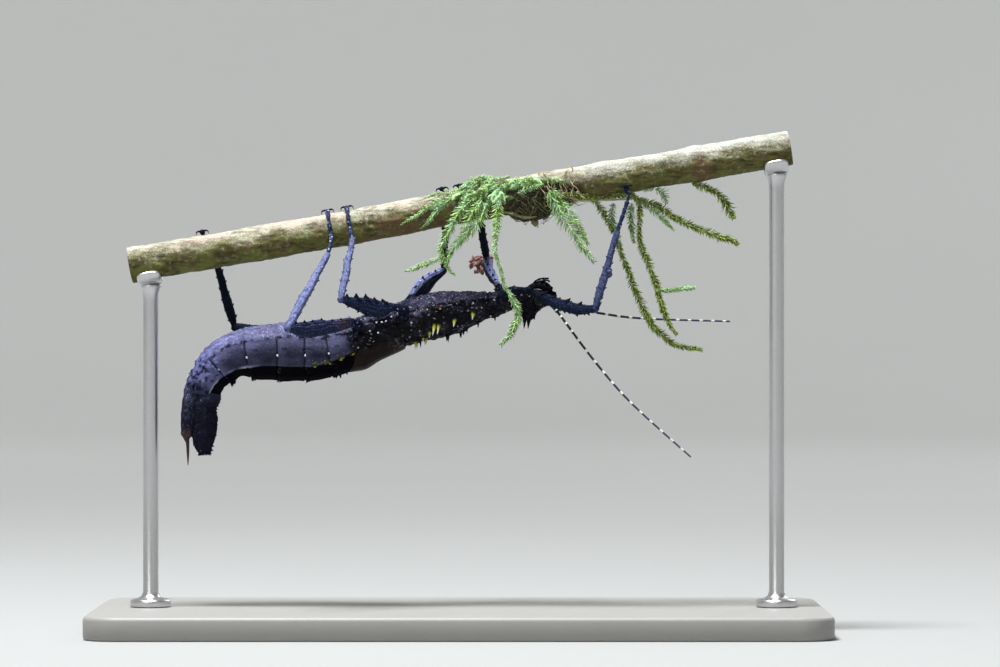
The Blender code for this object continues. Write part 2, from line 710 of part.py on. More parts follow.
def leg(name):
    hip, hip_end, bends, knee, ankle, foot_x, lands, ends = LEGS[name]
    pair = name.split("_")[0]
    top, bottom = LIMB_SIDES - 1, LIMB_SIDES // 2 - 1

    hip_route = (on_trunk(*hip, HIP_CLEARANCE)[:], on_trunk(*hip, 2.5 * HIP_CLEARANCE)[:], hip_end)
    coxa = limb(hip_route, [(radius, radius) for radius in HIP_RADII[pair]], 5)
    add_object(name + "_coxa", coxa.mesh, "limb")

    bend = (Vector(hip_end) - Vector(hip_route[1])).angle(Vector(bends[0]) - Vector(hip_end))
    gap = GAP + 2 * HIP_RADII[pair][-1] * math.sin(bend / 2)
    femur = limb((toward(hip_end, bends[0], gap)[:], *bends, knee), FEMUR_SIZES[pair], 10)
    teeth(femur, (1, 3, 5, 7), top, 0.4 if name == "hind_right" else 0.75, (0.3, 0, 0.3))
    teeth(femur, (3, 5, 7), bottom, 0.5, (0.3, 0, -0.3))
    add_object(name + "_femur", femur.mesh, "limb")

    fold = (Vector(bends[-1]) - Vector(knee)).angle(Vector(ankle) - Vector(knee))
    clear = max(FEMUR_SIZES[pair][-1]) + GAP + TIBIA_SIZES[pair][0][0] * max(0.0, math.cos(fold))
    tibia = limb((toward(knee, ankle, clear / math.sin(fold))[:], ankle), TIBIA_SIZES[pair], 8)
    teeth(tibia, (1, 3), top, 0.4, (0, 0, 0))
    teeth(tibia, (2, 4), bottom, 0.5, (0, 0, 0))
    add_object(name + "_tibia", tibia.mesh, "limb")

    turns = max(1, round(abs(ends - lands) / 28))
    angles = [lands + (ends - lands) * step / turns for step in range(turns + 1)]
    arc = [on_twig(foot_x, angle, FOOT_CLEARANCE)[:] for angle in angles]
    approach = on_twig(foot_x, lands - math.copysign(APPROACH_ANGLE, ends - lands), FOOT_CLEARANCE + 1.5)[:]
    start = toward(ankle, approach, 0.45 + GAP)[:]
    points = sampled((start, approach, *arc), len(TARSUS_RADII))
    rings = []
    for point, along, radius in zip(points, directions(points), TARSUS_RADII):
        rings.append(ring(point, along, twig_axis(foot_x), radius, radius, 6, phase=0.5))
    tarsus = Loft(rings)
    claws = [face for face in tarsus.grid[-1] if abs(face.normal.dot(twig_axis(foot_x))) > 0.6]
    hook = directions(points)[-1]
    for face in claws[:4]:
        tarsus.spine(face, CLAW_LENGTH, hook * 0.9, 0.1)
    add_object(name + "_tarsus", tarsus.mesh, "feeler")


def main():
    for item in list(bpy.data.objects):
        bpy.data.objects.remove(item, do_unlink=True)
    stand_base()
    stand_rod("stand_rod_left", -ROD_PLACE)
    stand_rod("stand_rod_right", ROD_PLACE)
    twig()
    moss()
    trunk()
    tail()
    wings()
    head()
    mouthparts()
    antennae()
    for name in LEGS:
        leg(name)


main()
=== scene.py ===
"""Visual model of a hanging, spiny stick insect on a mossy twig, with its display stand.

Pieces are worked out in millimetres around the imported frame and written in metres. The insect's head
points to +X, its left side to -Y, its belly is up and its back is down.
"""

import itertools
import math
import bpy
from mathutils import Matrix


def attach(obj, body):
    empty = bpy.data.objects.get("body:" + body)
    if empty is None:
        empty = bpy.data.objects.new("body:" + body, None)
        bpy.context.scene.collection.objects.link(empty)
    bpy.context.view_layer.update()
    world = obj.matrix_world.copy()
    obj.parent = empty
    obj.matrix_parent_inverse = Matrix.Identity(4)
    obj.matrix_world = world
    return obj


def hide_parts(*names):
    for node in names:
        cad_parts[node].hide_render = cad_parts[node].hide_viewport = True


bl_info = {
    "name": "Hanging stick insect",
    "version": (1, 0, 0),
    "blender": (4, 5, 0),
    "location": "3D View > Sidebar > Insect",
    "description": "Builds a spiny stick insect under a mossy twig, on a display stand",
    "category": "Add Mesh",
}

import bpy
import numpy as np
from mathutils import Vector

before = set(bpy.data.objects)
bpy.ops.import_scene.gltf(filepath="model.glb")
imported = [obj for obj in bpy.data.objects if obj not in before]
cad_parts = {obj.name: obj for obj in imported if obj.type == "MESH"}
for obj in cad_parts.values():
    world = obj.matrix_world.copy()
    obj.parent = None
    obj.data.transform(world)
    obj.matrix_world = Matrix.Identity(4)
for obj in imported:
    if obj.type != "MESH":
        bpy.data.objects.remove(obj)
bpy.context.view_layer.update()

MM = 0.001
UP = np.array((0.0, 0.0, 1.0))
FRONT = np.array((1.0, 0.0, 0.0))
FAR = np.array((0.0, 1.0, 0.0))
NEAR = np.array((0.0, -1.0, 0.0))

# Display stand
BASE_LENGTH, BASE_DEPTH, BASE_HEIGHT, BASE_CORNER = 124.0, 60.0, 4.0, 6.0
ROD_PLACE = 53.2
ROD_RADIUS = 1.3
FOOT_RADIUS = 3.5
CRADLE_HALF = (2.0, 0.45)
CRADLE_MIDDLE = 0.75
CRADLE_SPREAD = 62.0
# Profile of the base, from below: how far inside the outline, and how high
PLINTH_RINGS = (
    (2.0, 0), (0.5, 0), (0.15, 0.12), (0, 0.5), (0, 3.3), (0.1, 3.65), (0.35, 3.9), (0.7, 4.0), (5.0, 4.0),
)

# Twig
TWIG_HALF_LENGTH = 56.1
TWIG_RADIUS = 2.93
KNOT_PLACE, KNOT_LENGTH, KNOT_HEIGHT = 12.2, 3.6, 1.9

# Trunk centre line from the collar to the tail: x, z, half height, half width
TRUNK = np.array((
    (8.9, 56.2, 1.3, 1.5), (7.5, 55.9, 1.7, 1.9), (5.1, 55.4, 2.15, 2.3), (3.4, 55.2, 2.45, 2.5),
    (0.0, 54.45, 3.35, 2.9), (-3.4, 53.75, 3.85, 3.2), (-6.8, 53.1, 3.7, 3.4),
    (-10.2, 52.0, 3.65, 3.6), (-13.6, 50.75, 3.7, 3.8), (-17.0, 49.4, 3.8, 4.1),
    (-20.4, 48.1, 4.35, 4.6), (-24.1, 47.5, 4.8, 5.0), (-28.6, 47.45, 4.95, 5.1),
    (-33.7, 47.3, 4.6, 4.8), (-38.0, 46.6, 4.2, 4.4), (-41.0, 44.9, 3.7, 3.9),
    (-42.7, 43.0, 3.15, 3.5), (-43.6, 41.4, 3.00, 3.2), (-44.1, 40.1, 2.95, 3.0),
))
THORAX_EDGES = (4.9, -10.3)
ABDOMEN_EDGES = (-18.4, -22.3, -26.2, -30.9, -36.2, -41.2)
FLESH = (
    "prothorax", "mesothorax", "metathorax",
    "abdomen_1", "abdomen_2", "abdomen_3", "abdomen_4", "abdomen_5", "abdomen_6",
)
# Spines of the thorax: x, angle from the belly, length, foot radius, and finish
SPINES = (
    (7.0, 118, 0.55, 0.16, "dark"), (5.6, 165, 0.75, 0.2, "dark"), (6.3, 88, 0.35, 0.14, "dark"),
    (3.7, 97, 0.5, 0.18, "cream"), (3.0, 150, 0.55, 0.18, "dark"), (2.5, 166, 0.85, 0.2, "dark"),
    (2.0, 113, 1.15, 0.34, "cream"), (1.2, 136, 0.6, 0.2, "dark"), (0.5, 168, 0.8, 0.2, "dark"),
    (0.0, 162, 0.95, 0.22, "dark"), (-0.5, 172, 1.05, 0.22, "dark"), (-1.2, 114, 1.35, 0.32, "cream"),
    (-1.9, 80, 0.4, 0.16, "cream"), (-2.1, 150, 0.6, 0.18, "dark"), (-2.7, 164, 1.1, 0.24, "dark"),
    (-3.2, 77, 0.42, 0.13, "rust"), (-3.0, 174, 0.75, 0.2, "dark"), (-3.9, 118, 1.7, 0.3, "cream"),
    (-4.6, 116, 1.9, 0.32, "cream"), (-4.4, 96, 0.45, 0.18, "cream"), (-5.3, 72, 0.42, 0.16, "cream"),
    (-5.6, 136, 1.00, 0.26, "cream"), (-6.5, 163, 1.15, 0.26, "cream"), (-7.1, 152, 0.9, 0.24, "cream"),
    (-7.8, 171, 0.95, 0.22, "dark"), (-8.7, 168, 1.25, 0.28, "cream"), (-7.3, 122, 0.55, 0.2, "cream"),
    (-8.9, 104, 0.45, 0.18, "dark"), (-9.6, 128, 0.5, 0.2, "dark"),
)
# Yellow-green growths on the flanks: x and angle from the belly
GROWTHS = ((-24.8, 114), (-23.8, 117), (-22.9, 118), (-21.0, 108), (-20.0, 111), (-19.1, 109), (-7.2, 140))
# Spines of the back, as x and angle, and near the tail, as x, angle and length
BACK_SPINES = ((-21.3, 165), (-20.4, 158))
REAR_SPINES = ((-40.9, 20, 0.4), (-42.4, 30, 0.55), (-43.2, 12, 0.45), (-42.0, 60, 0.4))
# Patches of light dust on the thorax: x, angle, half width along and round the body, and amount
DUST_PATCHES = (
    (-16.5, 52, 1.3, 14, 0.8), (-7.1, 73, 1.6, 9, 0.62), (-9.8, 66, 1.1, 10, 0.45), (-3.2, 68, 1.8, 5, 0.35),
)
# Plates between the hips: route, radius, flatness, how light they are, and how pale; the first plate is light
# and a little pale as a painted highlight
HIP_PLATES = (
    (((-15.5, 3.05, 53.05), (-13.6, 3.25, 53.45), (-11.8, 3.1, 53.85)), 0.55, 0.8, 0.62, 0.1),
    (((-17.1, 3.35, 51.5), (-15.6, 3.6, 51.6), (-13.9, 3.45, 51.5)), 0.8, 0.7, 0.16, 0.0),
    (((-14.2, 3.4, 51.7), (-12.6, 3.45, 52.0), (-10.8, 3.2, 52.4)), 0.66, 0.7, 0.03, 0.0),
    (((-11.0, 3.0, 52.0), (-9.2, 3.1, 52.6), (-7.2, 2.9, 53.1)), 0.9, 0.6, 0.14, 0.0),
    (((-19.2, 3.95, 49.2), (-18.1, 4.05, 49.9), (-17.3, 3.85, 50.9)), 0.5, 0.7, 0.2, 0.0),
    (((4.4, 2.1, 55.0), (5.6, 2.2, 55.3), (6.8, 2.0, 55.6)), 0.7, 0.6, 0.05, 0.0),
)
# Knobs on the plates, painted pale as their glints: x, distance from the middle, z and height
PLATE_KNOBS = (
    (-14.1, 3.95, 52.35, 0.3), (-13.2, 4.0, 52.4, 0.34), (-12.5, 3.95, 52.55, 0.3),
    (-15.2, 4.15, 50.9, 0.34), (-13.8, 4.1, 50.6, 0.28), (-8.2, 3.75, 52.3, 0.3),
    (-11.6, 3.5, 53.3, 0.24), (-17.2, 4.3, 48.1, 0.26),
)
# Head: x, z, half height, half width, from the neck to the upper lip
HEAD = np.array((
    (8.5, 56.3, 0.8, 1.1), (9.1, 56.4, 1.00, 1.35), (9.9, 56.2, 1.6, 2.0), (10.7, 55.7, 2.18, 2.38),
    (11.5, 55.35, 2.52, 2.48), (12.3, 55.45, 2.46, 2.46), (13.1, 56.0, 1.92, 2.36),
    (13.9, 56.3, 1.48, 2.16), (14.8, 56.45, 1.18, 1.9), (15.6, 56.6, 0.85, 1.45), (16.2, 56.8, 0.45, 0.8),
))
EYE = (13.3, 2.2, 56.0)
EYE_RADIUS, EYE_DEPTH = 0.8, 0.75
# Spines of the head: root, direction, length and foot radius
HEAD_SPINES = (
    ((11.72, 0.8, 53.5), (-0.03, 0.06, -1.0), 2.35, 0.5),
    ((11.05, 0.75, 53.6), (-0.04, 0.05, -1.0), 2.45, 0.48),
    ((10.5, 1.1, 53.9), (-0.5, 0.3, -0.9), 0.75, 0.3),
    ((12.5, 0.8, 53.6), (0.25, 0.2, -1.0), 0.9, 0.34),
    ((10.3, 1.9, 54.8), (-0.8, 0.5, -0.2), 0.5, 0.18),
    ((12.9, 1.6, 54.6), (0.3, 0.8, -0.6), 0.5, 0.18),
    ((11.4, 1.9, 54.0), (-0.1, 0.8, -0.6), 0.5, 0.18),
    ((13.4, 1.3, 54.6), (0.7, 0.4, -0.6), 0.45, 0.16),
)
MOUTH = np.array((
    (11.6, 58.35, 0.25, 0.8), (12.4, 58.55, 0.5, 1.4), (13.3, 58.7, 0.62, 1.75),
    (14.2, 58.55, 0.7, 1.75), (15.0, 58.2, 0.6, 1.45), (15.7, 57.9, 0.4, 0.95),
))
# Lobes on each side of the mouth: route, radius, flatness and looks
MOUTH_LOBES = (
    (
        ((12.3, 1.5, 58.2), (13.4, 1.85, 58.55), (14.9, 1.6, 58.0), (15.9, 0.95, 57.4)),
        0.42, 0.8, {"rust": 0.004, "tone": 0.01, "slick": 0.7},
    ),
    (
        ((12.6, 0.55, 58.9), (13.6, 0.62, 59.2), (14.7, 0.55, 58.9), (15.5, 0.4, 58.3)),
        0.34, 1.0, {"tone": 0.02, "slick": 0.7},
    ),
    (((14.6, 1.25, 57.4), (15.6, 0.9, 57.3), (16.2, 0.35, 57.4)), 0.42, 0.9, {"tone": 0.02}),
)
UPPER_LIP = ((15.3, -0.95, 57.15), (16.15, 0, 57.2), (15.3, 0.95, 57.15))
PALP = ((12.5, 0.95, 58.9), (12.8, 1.0, 59.35), (13.4, 1.05, 59.7), (14.2, 1.1, 59.85), (15.1, 1.15, 59.85))
SHORT_PALP = ((13.6, 1.2, 59.0), (14.0, 1.5, 59.45), (14.7, 1.55, 59.55), (15.3, 1.5, 59.3))
ANTENNAE = {
    "left": (
        (15.0, -2.4, 56.0), (16.6, -2.8, 54.1), (22.8, -5.0, 45.8), (29.0, -7.2, 38.7), (38.9, -10.0, 29.7),
    ),
    "right": (
        (15.1, 2.4, 55.7), (17.0, 3.0, 55.1), (23.7, 5.6, 54.0), (31.2, 9.5, 53.1), (46.8, 18.0, 52.6),
    ),
}

# Legs: the hip's x and angle on the trunk, end of the hip joint, way points of the thigh, knee, ankle, then
# the foot's x on the twig and the angles, from the top towards -Y, where it lands and where it ends
LEGS = {
    "front_left": (
        (7.4, -62), (9.2, -3.9, 58.0), ((11.9, -4.6, 57.6), (14.9, -5.2, 56.2), (19.5, -5.6, 54.6)),
        (22.8, -5.4, 54.7), (26.6, -4.0, 67.6), 27.8, 138, 124,
    ),
    "front_right": (
        (6.9, 62), (6.5, 4.6, 58.5), ((6.1, 8.0, 59.4), (5.1, 12.0, 61.0)),
        (4.5, 16.0, 63.5), (3.1, 7.0, 71.6), 0.5, -80, -8,
    ),
    "mid_left": (
        (-9.0, -58), (-11.2, -4.7, 55.0), ((-13.6, -6.2, 54.6), (-16.6, -8.2, 55.3)),
        (-19.9, -10.5, 56.3), (-18.1, -5.2, 66.4), -18.6, 96, 16,
    ),
    "mid_right": (
        (-9.0, 58), (-8.6, 5.2, 56.4), ((-5.9, 8.4, 59.0),),
        (-2.9, 12.0, 61.5), (-2.6, 5.6, 70.4), -2.4, -80, -6,
    ),
    "hind_left": (
        (-16.4, -56), (-18.2, -5.6, 52.4), ((-20.9, -9.0, 51.8), (-24.9, -14.0, 51.2)),
        (-28.4, -19.0, 51.4), (-22.3, -6.6, 63.7), -21.9, 100, 16,
    ),
    "hind_right": (
        (-16.4, 64), (-18.6, 5.8, 49.8), ((-29.2, 7.4, 49.9),),
        (-38.8, 9.0, 51.6), (-41.9, 6.3, 62.8), -43.3, -82, -4,
    ),
}
HIP_RADII = {"front": (0.85, 0.78, 0.52), "mid": (1.0, 0.88, 0.58), "hind": (1.05, 0.95, 0.62)}
FEMUR_SIZES = {
    "front": ((0.5, 0.42), (0.55, 0.48), (0.8, 0.65), (1.00, 0.75), (0.98, 0.75), (0.7, 0.65)),
    "mid": ((0.75, 0.65), (1.35, 0.8), (1.55, 0.75), (1.15, 0.7), (0.8, 0.7), (0.6, 0.62)),
    "hind": ((0.75, 0.7), (1.00, 0.9), (1.2, 0.9), (1.35, 0.85), (1.1, 0.8), (0.65, 0.7)),
}
TIBIA_SIZES = {
    "front": ((0.45, 0.45), (0.62, 0.58), (0.6, 0.55), (0.55, 0.52), (0.5, 0.48), (0.46, 0.44)),
    "mid": ((0.45, 0.45), (0.6, 0.55), (0.6, 0.55), (0.57, 0.52), (0.52, 0.48), (0.46, 0.44)),
    "hind": ((0.48, 0.48), (0.72, 0.66), (0.74, 0.66), (0.68, 0.62), (0.58, 0.55), (0.5, 0.48)),
}
# How violet the hip, the thigh, the shin and the foot of each leg are, from 0, black, to 1; partly painted
# light, as the near shins are light where light falls on them and the far shins dark as in shade
LEG_TONES = {
    "front_left": (0.04, 0.1, 0.36, 0.16), "front_right": (0.1, 0.85, 0.03, 0.02),
    "mid_left": (0.05, 0.16, 0.68, 0.24), "mid_right": (0.06, 0.95, 0.03, 0.02),
    "hind_left": (0.06, 0.22, 0.66, 0.24), "hind_right": (0.05, 0.03, 0.02, 0.02),
}
# Rows of teeth on the hips and the shins: angle, spacing, height, start and end
HIP_TEETH = (
    (60, 0.8, 0.35, 0.35, 0.95), (150, 0.9, 0.32, 0.35, 0.95),
    (250, 0.8, 0.35, 0.35, 0.95), (330, 0.9, 0.3, 0.3, 0.9),
)
SHIN_TEETH = (
    (-20, 1.9, 0.34, 0.12, 0.8), (24, 2.3, 0.26, 0.2, 0.85), (160, 2.1, 0.36, 0.15, 0.9),
    (200, 2.5, 0.24, 0.2, 0.9), (90, 2.2, 0.22, 0.1, 0.95), (270, 2.0, 0.22, 0.1, 0.95),
)
# Where the five segments of a foot begin and end, in shares of its length
FOOT_JOINTS = np.array((0.0, 0.22, 0.38, 0.53, 0.67, 1.0))
FOOT_CLEARANCE = 0.62
APPROACH_ANGLE = 8
# A leg part that rises more steeply than this is framed by the rear direction, not the upward one
STEEP = 0.62

# Wings: where they start and where their inner and outer edges end, in x
WING_START = -10.6
WING_REAR = (-20.2, -18.3)
WING_THICKNESS = 0.5

# Tail and egg scoop, from above: x, z, half length and half width
TAIL = np.array((
    (-42.6, 40.6, 1.75, 2.6), (-42.95, 39.4, 1.95, 2.85), (-43.5, 38.0, 2.05, 2.88),
    (-43.5, 36.0, 2.02, 2.72), (-43.6, 34.0, 2.02, 2.45), (-43.7, 32.3, 1.75, 2.1),
    (-43.6, 30.9, 1.3, 1.6), (-43.4, 29.9, 0.85, 1.1),
))
TAIL_JOINTS = (38.1, 35.4, 33.0)
SCOOP = np.array((
    (-44.9, 42.2, 1.3, 1.6), (-45.25, 40.9, 1.6, 2.05), (-45.65, 39.2, 1.5, 2.2),
    (-45.85, 37.4, 1.48, 2.15), (-46.05, 35.6, 1.42, 2.00), (-46.3, 34.0, 1.08, 1.55),
    (-46.45, 32.7, 0.5, 1.00), (-46.3, 31.8, 0.3, 0.42), (-46.25, 30.0, 0.22, 0.24),
    (-46.25, 28.1, 0.05, 0.05),
))

# Moss: first and last x of the pad, then the fixed points of the runner
MOSS_PAD = (3.4, 17.0)
RUNNER_END = (22.4, -1.8, 73.1)
RUNNER_FORK = (29.8, -1.1, 73.4)
# Kinds of shoot: leaf spacing, leaf width, ranks, lean, and leaf length in shares from root to tip
MOSS_KINDS = {
    "plume": (0.22, 0.85, 4, 57, (0.55, 0.95, 1.0, 0.85, 0.65, 0.3)),
    "neck": (0.2, 0.9, 4, 60, (0.9, 1.0, 0.55, 0.42, 0.42, 0.55, 1.0, 0.8, 0.5)),
    "comb": (0.23, 1.25, 4, 58, (0.5, 0.9, 0.8, 0.85, 1.0, 1.15, 1.0, 0.55)),
}
# Hanging shoots: root on the pad as x and angle, or a point, then the route, leaf length, brightness and kind
MOSS_SHOOTS = (
    ((2.4, 78), (
        (-0.6, -4.9, 70.2), (-2.7, -4.9, 66.3), (-2.9, -4.9, 62.9), (-0.9, -4.9, 60.6),
    ), 1.35, 0.95, "plume"),
    ((4.6, 98), (
        (3.2, -4.6, 69.3), (0.7, -4.8, 66.7), (-1.6, -5.0, 64.0), (-2.5, -5.0, 61.9),
    ), 1.65, 1.0, "plume"),
    ((3.8, 88), ((2.0, -4.6, 70.4), (0.8, -4.7, 68.0), (0.2, -4.7, 65.6)), 1.3, 0.9, "plume"),
    ((6.4, 96), (
        (6.1, -5.7, 65.4), (7.4, -6.3, 59.2), (9.8, -6.6, 54.2), (9.4, -6.6, 51.5), (7.0, -6.2, 48.6),
    ), 1.25, 0.85, "neck"),
    ((14.9, 98), ((17.6, -4.2, 70.2), (19.8, -4.0, 67.0), (22.4, -3.9, 62.9)), 2.0, 1.0, "plume"),
    ((15.6, 94), ((18.9, -3.9, 70.6), (20.9, -3.7, 67.8), (21.8, -3.6, 65.6)), 1.4, 0.85, "plume"),
    ((15.6, 108), (
        RUNNER_END, (26.4, 0.6, 66.7), (29.6, 1.2, 58.5),
        (32.3, 1.3, 52.4), (36.2, 1.2, 48.8), (41.0, 1.0, 47.6),
    ), 1.0, 0.38, "comb"),
    (RUNNER_END, (
        RUNNER_FORK, (30.6, -0.9, 66.0), (33.0, -0.8, 59.8), (34.9, -0.8, 53.6), (36.7, -0.8, 50.5),
    ), 1.0, 0.42, "comb"),
    (RUNNER_FORK, ((33.8, -1.2, 71.9), (39.7, -1.4, 68.5), (47.2, -1.5, 65.9)), 1.15, 0.42, "comb"),
    ((39.4, -0.9, 76.1), ((42.6, -1.0, 75.0), (44.9, -1.0, 73.0), (46.4, -1.0, 70.2)), 1.15, 0.5, "comb"),
    ((33.2, -0.9, 75.0), ((34.6, -1.0, 74.2), (35.1, -1.0, 72.6)), 1.4, 1.0, "plume"),
    ((33.0, -0.9, 75.2), ((31.8, -1.0, 74.8), (31.0, -1.0, 74.9)), 0.9, 0.9, "plume"),
    ((-2.4, -4.9, 63.2), ((-4.9, -4.8, 62.5), (-9.0, -4.7, 61.0)), 0.85, 0.85, "plume"),
    ((26.2, 0.4, 72.6), ((25.7, 0.3, 70.0), (26.6, 0.3, 66.8)), 1.25, 0.8, "plume"),
    ((33.5, -0.8, 57.9), ((36.2, -0.9, 57.8), (39.8, -1.0, 58.4)), 0.7, 1.0, "comb"),
    ((29.2, -1.0, 72.6), ((28.9, -1.0, 69.5), (29.6, -1.0, 66.0)), 1.2, 0.55, "plume"),
    ((30.2, -1.0, 73.0), ((33.4, -1.1, 70.9), (36.4, -1.2, 68.0)), 0.95, 0.8, "plume"),
)
# Shoots that lie on the pad: first and last place as x and angle, brightness and leaf length
PAD_FRONDS = (
    ((-2.0, 56), (-10.0, 110), 0.95, 1.3), ((-1.0, 62), (-7.2, 134), 0.9, 1.2),
    ((2.0, 50), (-4.6, 84), 1.0, 1.3),
    ((1.0, 38), (-5.6, 48), 0.8, 1.2), ((5.0, 78), (7.4, 104), 1.0, 1.5), ((4.0, 40), (7.6, 82), 1.0, 1.6),
    ((9.0, 66), (13.6, 56), 1.0, 1.8), ((10.0, 84), (14.2, 76), 0.95, 1.6), ((6.0, 88), (2.6, 118), 1.0, 1.6),
    ((14.0, 60), (18.6, 84), 0.8, 1.2),
)
# Single broad leaves on the pad: x, angle on the twig, and direction in degrees
BROAD_LEAVES = (
    (6.6, 70, 250), (6.0, 78, 235), (7.2, 76, 268), (6.7, 84, 285), (12.2, 50, 330), (11.6, 54, 250),
    (13.0, 56, 300), (2.2, 66, 215), (3.0, 60, 250), (4.6, 48, 290), (9.4, 48, 262), (0.4, 60, 200),
)
# Middle of the moss crumbs on the front right knee
CRUMBS_MIDDLE = np.array((3.6, 15.6, 62.5))

# Fixed shades of the finishes
WARM_DUST = (0.085, 0.062, 0.072, 1)
BLUE_DUST = (0.088, 0.104, 0.27, 1)
WING_BLOOM = (0.13, 0.105, 0.11, 1)
EYE_RIM = (0.022, 0.02, 0.02, 1)
OLIVE_BARK = (0.12, 0.14, 0.026, 1)
RED_BARK = (0.105, 0.052, 0.03, 1)
ROSY_BARK = (0.46, 0.35, 0.3, 1)
GREY_BARK = (0.38, 0.41, 0.37, 1)
# The knot's colours also paint the shade in the twig's hollows
KNOT_SHADES = ((0.005, 0.004, 0.002, 1), (0.04, 0.033, 0.014, 1))
CUT_WOOD = ((0.4, 0.29, 0.16, 1), (0.62, 0.5, 0.32, 1))
MINT_LEAF = (0.31, 0.55, 0.32, 1)
# Pale leaf tips, partly painted light shining through the thin leaves
PALE_LEAF_TIP = (0.58, 0.82, 0.42, 1)
OLIVE_LEAVES = ((0.052, 0.08, 0.004, 1), (0.36, 0.46, 0.06, 1))
MOSS_STEM = (0.045, 0.04, 0.014, 1)
DRY_MOSS = (0.36, 0.32, 0.19, 1)
RED_CRUMBS = ((0.03, 0.015, 0.014, 1), (0.33, 0.165, 0.14, 1))
FLOOR_SHADES = ((0.29, 0.295, 0.29, 1), (0.31, 0.315, 0.31, 1))

# Stage, in metres: name, place, size, power and colour of each light, then the sky and the camera
LIGHTS = (
    ("top_light", (-0.12, -0.12, 0.75), 0.22, 15.0, (0.97, 0.98, 1.0)),
    ("front_fill", (-0.45, -0.9, 0.55), 0.5, 1.7, (1.0, 0.98, 0.95)),
    ("rear_fill", (0.5, 0.8, 0.6), 0.4, 1.8, (1.0, 1.0, 1.0)),
)
LIGHTS_AIM = (0, 0, 0.05)
SKY_COLOUR = (0.92, 0.95, 1.0, 1)
SKY_STRENGTH = 0.11
SENSOR_WIDTH = 36
VIEW_WIDTH = 0.17
CAMERA_X, CAMERA_DISTANCE, CAMERA_HEIGHT = 0.0068, 0.8, 0.0505


def tint(name, text, red, green, blue):
    return bpy.props.FloatVectorProperty(
        name=name, description=text, subtype="COLOR", size=4, min=0, max=1, default=(red, green, blue, 1)
    )


def length(name, text, millimetres):
    return bpy.props.FloatProperty(
        name=name, description=text, unit="LENGTH", min=0, precision=5, default=millimetres * MM
    )


class InsectColours(bpy.types.PropertyGroup):
    """Colours of the insect, the twig and the stand."""

    back: tint("Back", "Glossy skin of the back and the head", 0.0018, 0.0018, 0.0028)
    belly: tint("Belly", "Dusty skin of the belly", 0.122, 0.126, 0.24)
    # The lip colour also paints the highlights and glints on the skin and the legs
    lip: tint("Lip", "Pale edges, dots and dust on the skin", 0.42, 0.42, 0.52)
    cream: tint("Cream spines", "Light spines of the thorax", 0.42, 0.4, 0.13)
    rust: tint("Rust spines", "The few reddish spines and spots", 0.42, 0.16, 0.04)
    algae: tint("Green spots", "Yellow-green growth on the flanks", 0.34, 0.36, 0.03)
    violet: tint("Violet legs", "Bright parts of the legs", 0.18, 0.205, 0.41)
    dark: tint("Dark legs", "Darkest parts of the legs and feet", 0.004, 0.005, 0.008)
    navy: tint("Navy legs", "Parts of the legs between dark and violet", 0.015, 0.024, 0.066)
    wing: tint("Wings", "Small leathery fore wings", 0.0055, 0.0038, 0.0032)
    eye: tint("Eyes", "Ground colour of the eyes", 0.004, 0.004, 0.004)
    ring: tint("Feeler rings", "Light rings of the feelers", 0.56, 0.57, 0.5)
    # The upper side is paler partly from weathering and partly as painted light from above, the under side
    # darker partly as painted shade
    bark_top: tint("Bark, upper side", "Weathered, pale side of the twig", 0.335, 0.32, 0.25)
    bark_low: tint("Bark, under side", "Damp, darker side of the twig", 0.072, 0.066, 0.018)
    lichen: tint("Lichen", "Light crusts on the bark", 0.49, 0.47, 0.39)
    leaf: tint("Moss", "Fresh moss leaves", 0.25, 0.47, 0.1)
    old_leaf: tint("Old moss", "Older moss leaves and stems", 0.045, 0.085, 0.006)
    steel: tint("Steel", "Rods of the stand", 0.58, 0.58, 0.59)
    board: tint("Board", "Base of the stand", 0.25, 0.247, 0.235)


class InsectSizes(bpy.types.PropertyGroup):
    """Sizes of the small details."""

    granule: length("Granules", "Height of the granules on the skin", 0.11)
    crease: length("Creases", "Depth of the creases between two rings of the body", 0.22)
    claw: length("Claws", "Length of a claw", 1.25)
    feeler_ring: length("Feeler rings", "Distance between two light rings at the foot of a feeler", 1.4)
    leaf_width: length("Moss leaves", "Width of a moss leaf", 0.2)
    bark: length("Bark", "Height of the bark's ridges", 0.11)


# ---------------------------------------------------------------- curves and noise


def unit(vectors):
    return vectors / np.maximum(np.linalg.norm(vectors, axis=-1, keepdims=True), 1e-12)


def smooth(values, low, high):
    """A soft step from 0 at low to 1 at high."""
    part = np.clip((values - low) / (high - low), 0, 1)
    return part * part * (3 - 2 * part)


def peak(values, middle, width):
    return np.exp(-(((values - middle) / width) ** 2))


def through(stations, places):
    """Points on the smooth curve through the stations, at places counted in stations from 0."""
    stations = np.asarray(stations, float)
    places = np.atleast_1d(np.asarray(places, float))
    last = len(stations) - 1
    start = np.clip(places.astype(int), 0, last - 1)
    part = (places - start)[:, None]
    before, here, there, after = (stations[np.clip(start + step, 0, last)] for step in (-1, 0, 1, 2))
    bend = 2 * before - 5 * here + 4 * there - after
    turn = 3 * here - before - 3 * there + after
    return 0.5 * (2 * here + (there - before) * part + bend * part**2 + turn * part**3)


def sampled(stations, count):
    """Points spread evenly by length along the smooth curve through the stations."""
    fine = through(stations, np.linspace(0, len(stations) - 1, 24 * len(stations)))
    steps = np.linalg.norm(np.diff(fine[:, :3], axis=0), axis=1)
    lengths = np.concatenate([[0.0], np.cumsum(steps)])
    wanted = np.linspace(0, lengths[-1], count)
    return np.stack([np.interp(wanted, lengths, column) for column in fine.T], axis=1)


def in_middle(table, count):
    """Evenly spread stations from a table of x, z and two half sizes, in the plane between left and right."""
    return sampled(np.column_stack([table[:, 0], np.zeros(len(table)), table[:, 1:]]), count)


def curve_length(stations):
    fine = through(stations, np.linspace(0, len(stations) - 1, 24 * len(stations)))
    return np.linalg.norm(np.diff(fine[:, :3], axis=0), axis=1).sum()


def directions(points):
    return unit(np.gradient(np.asarray(points, float), axis=0))


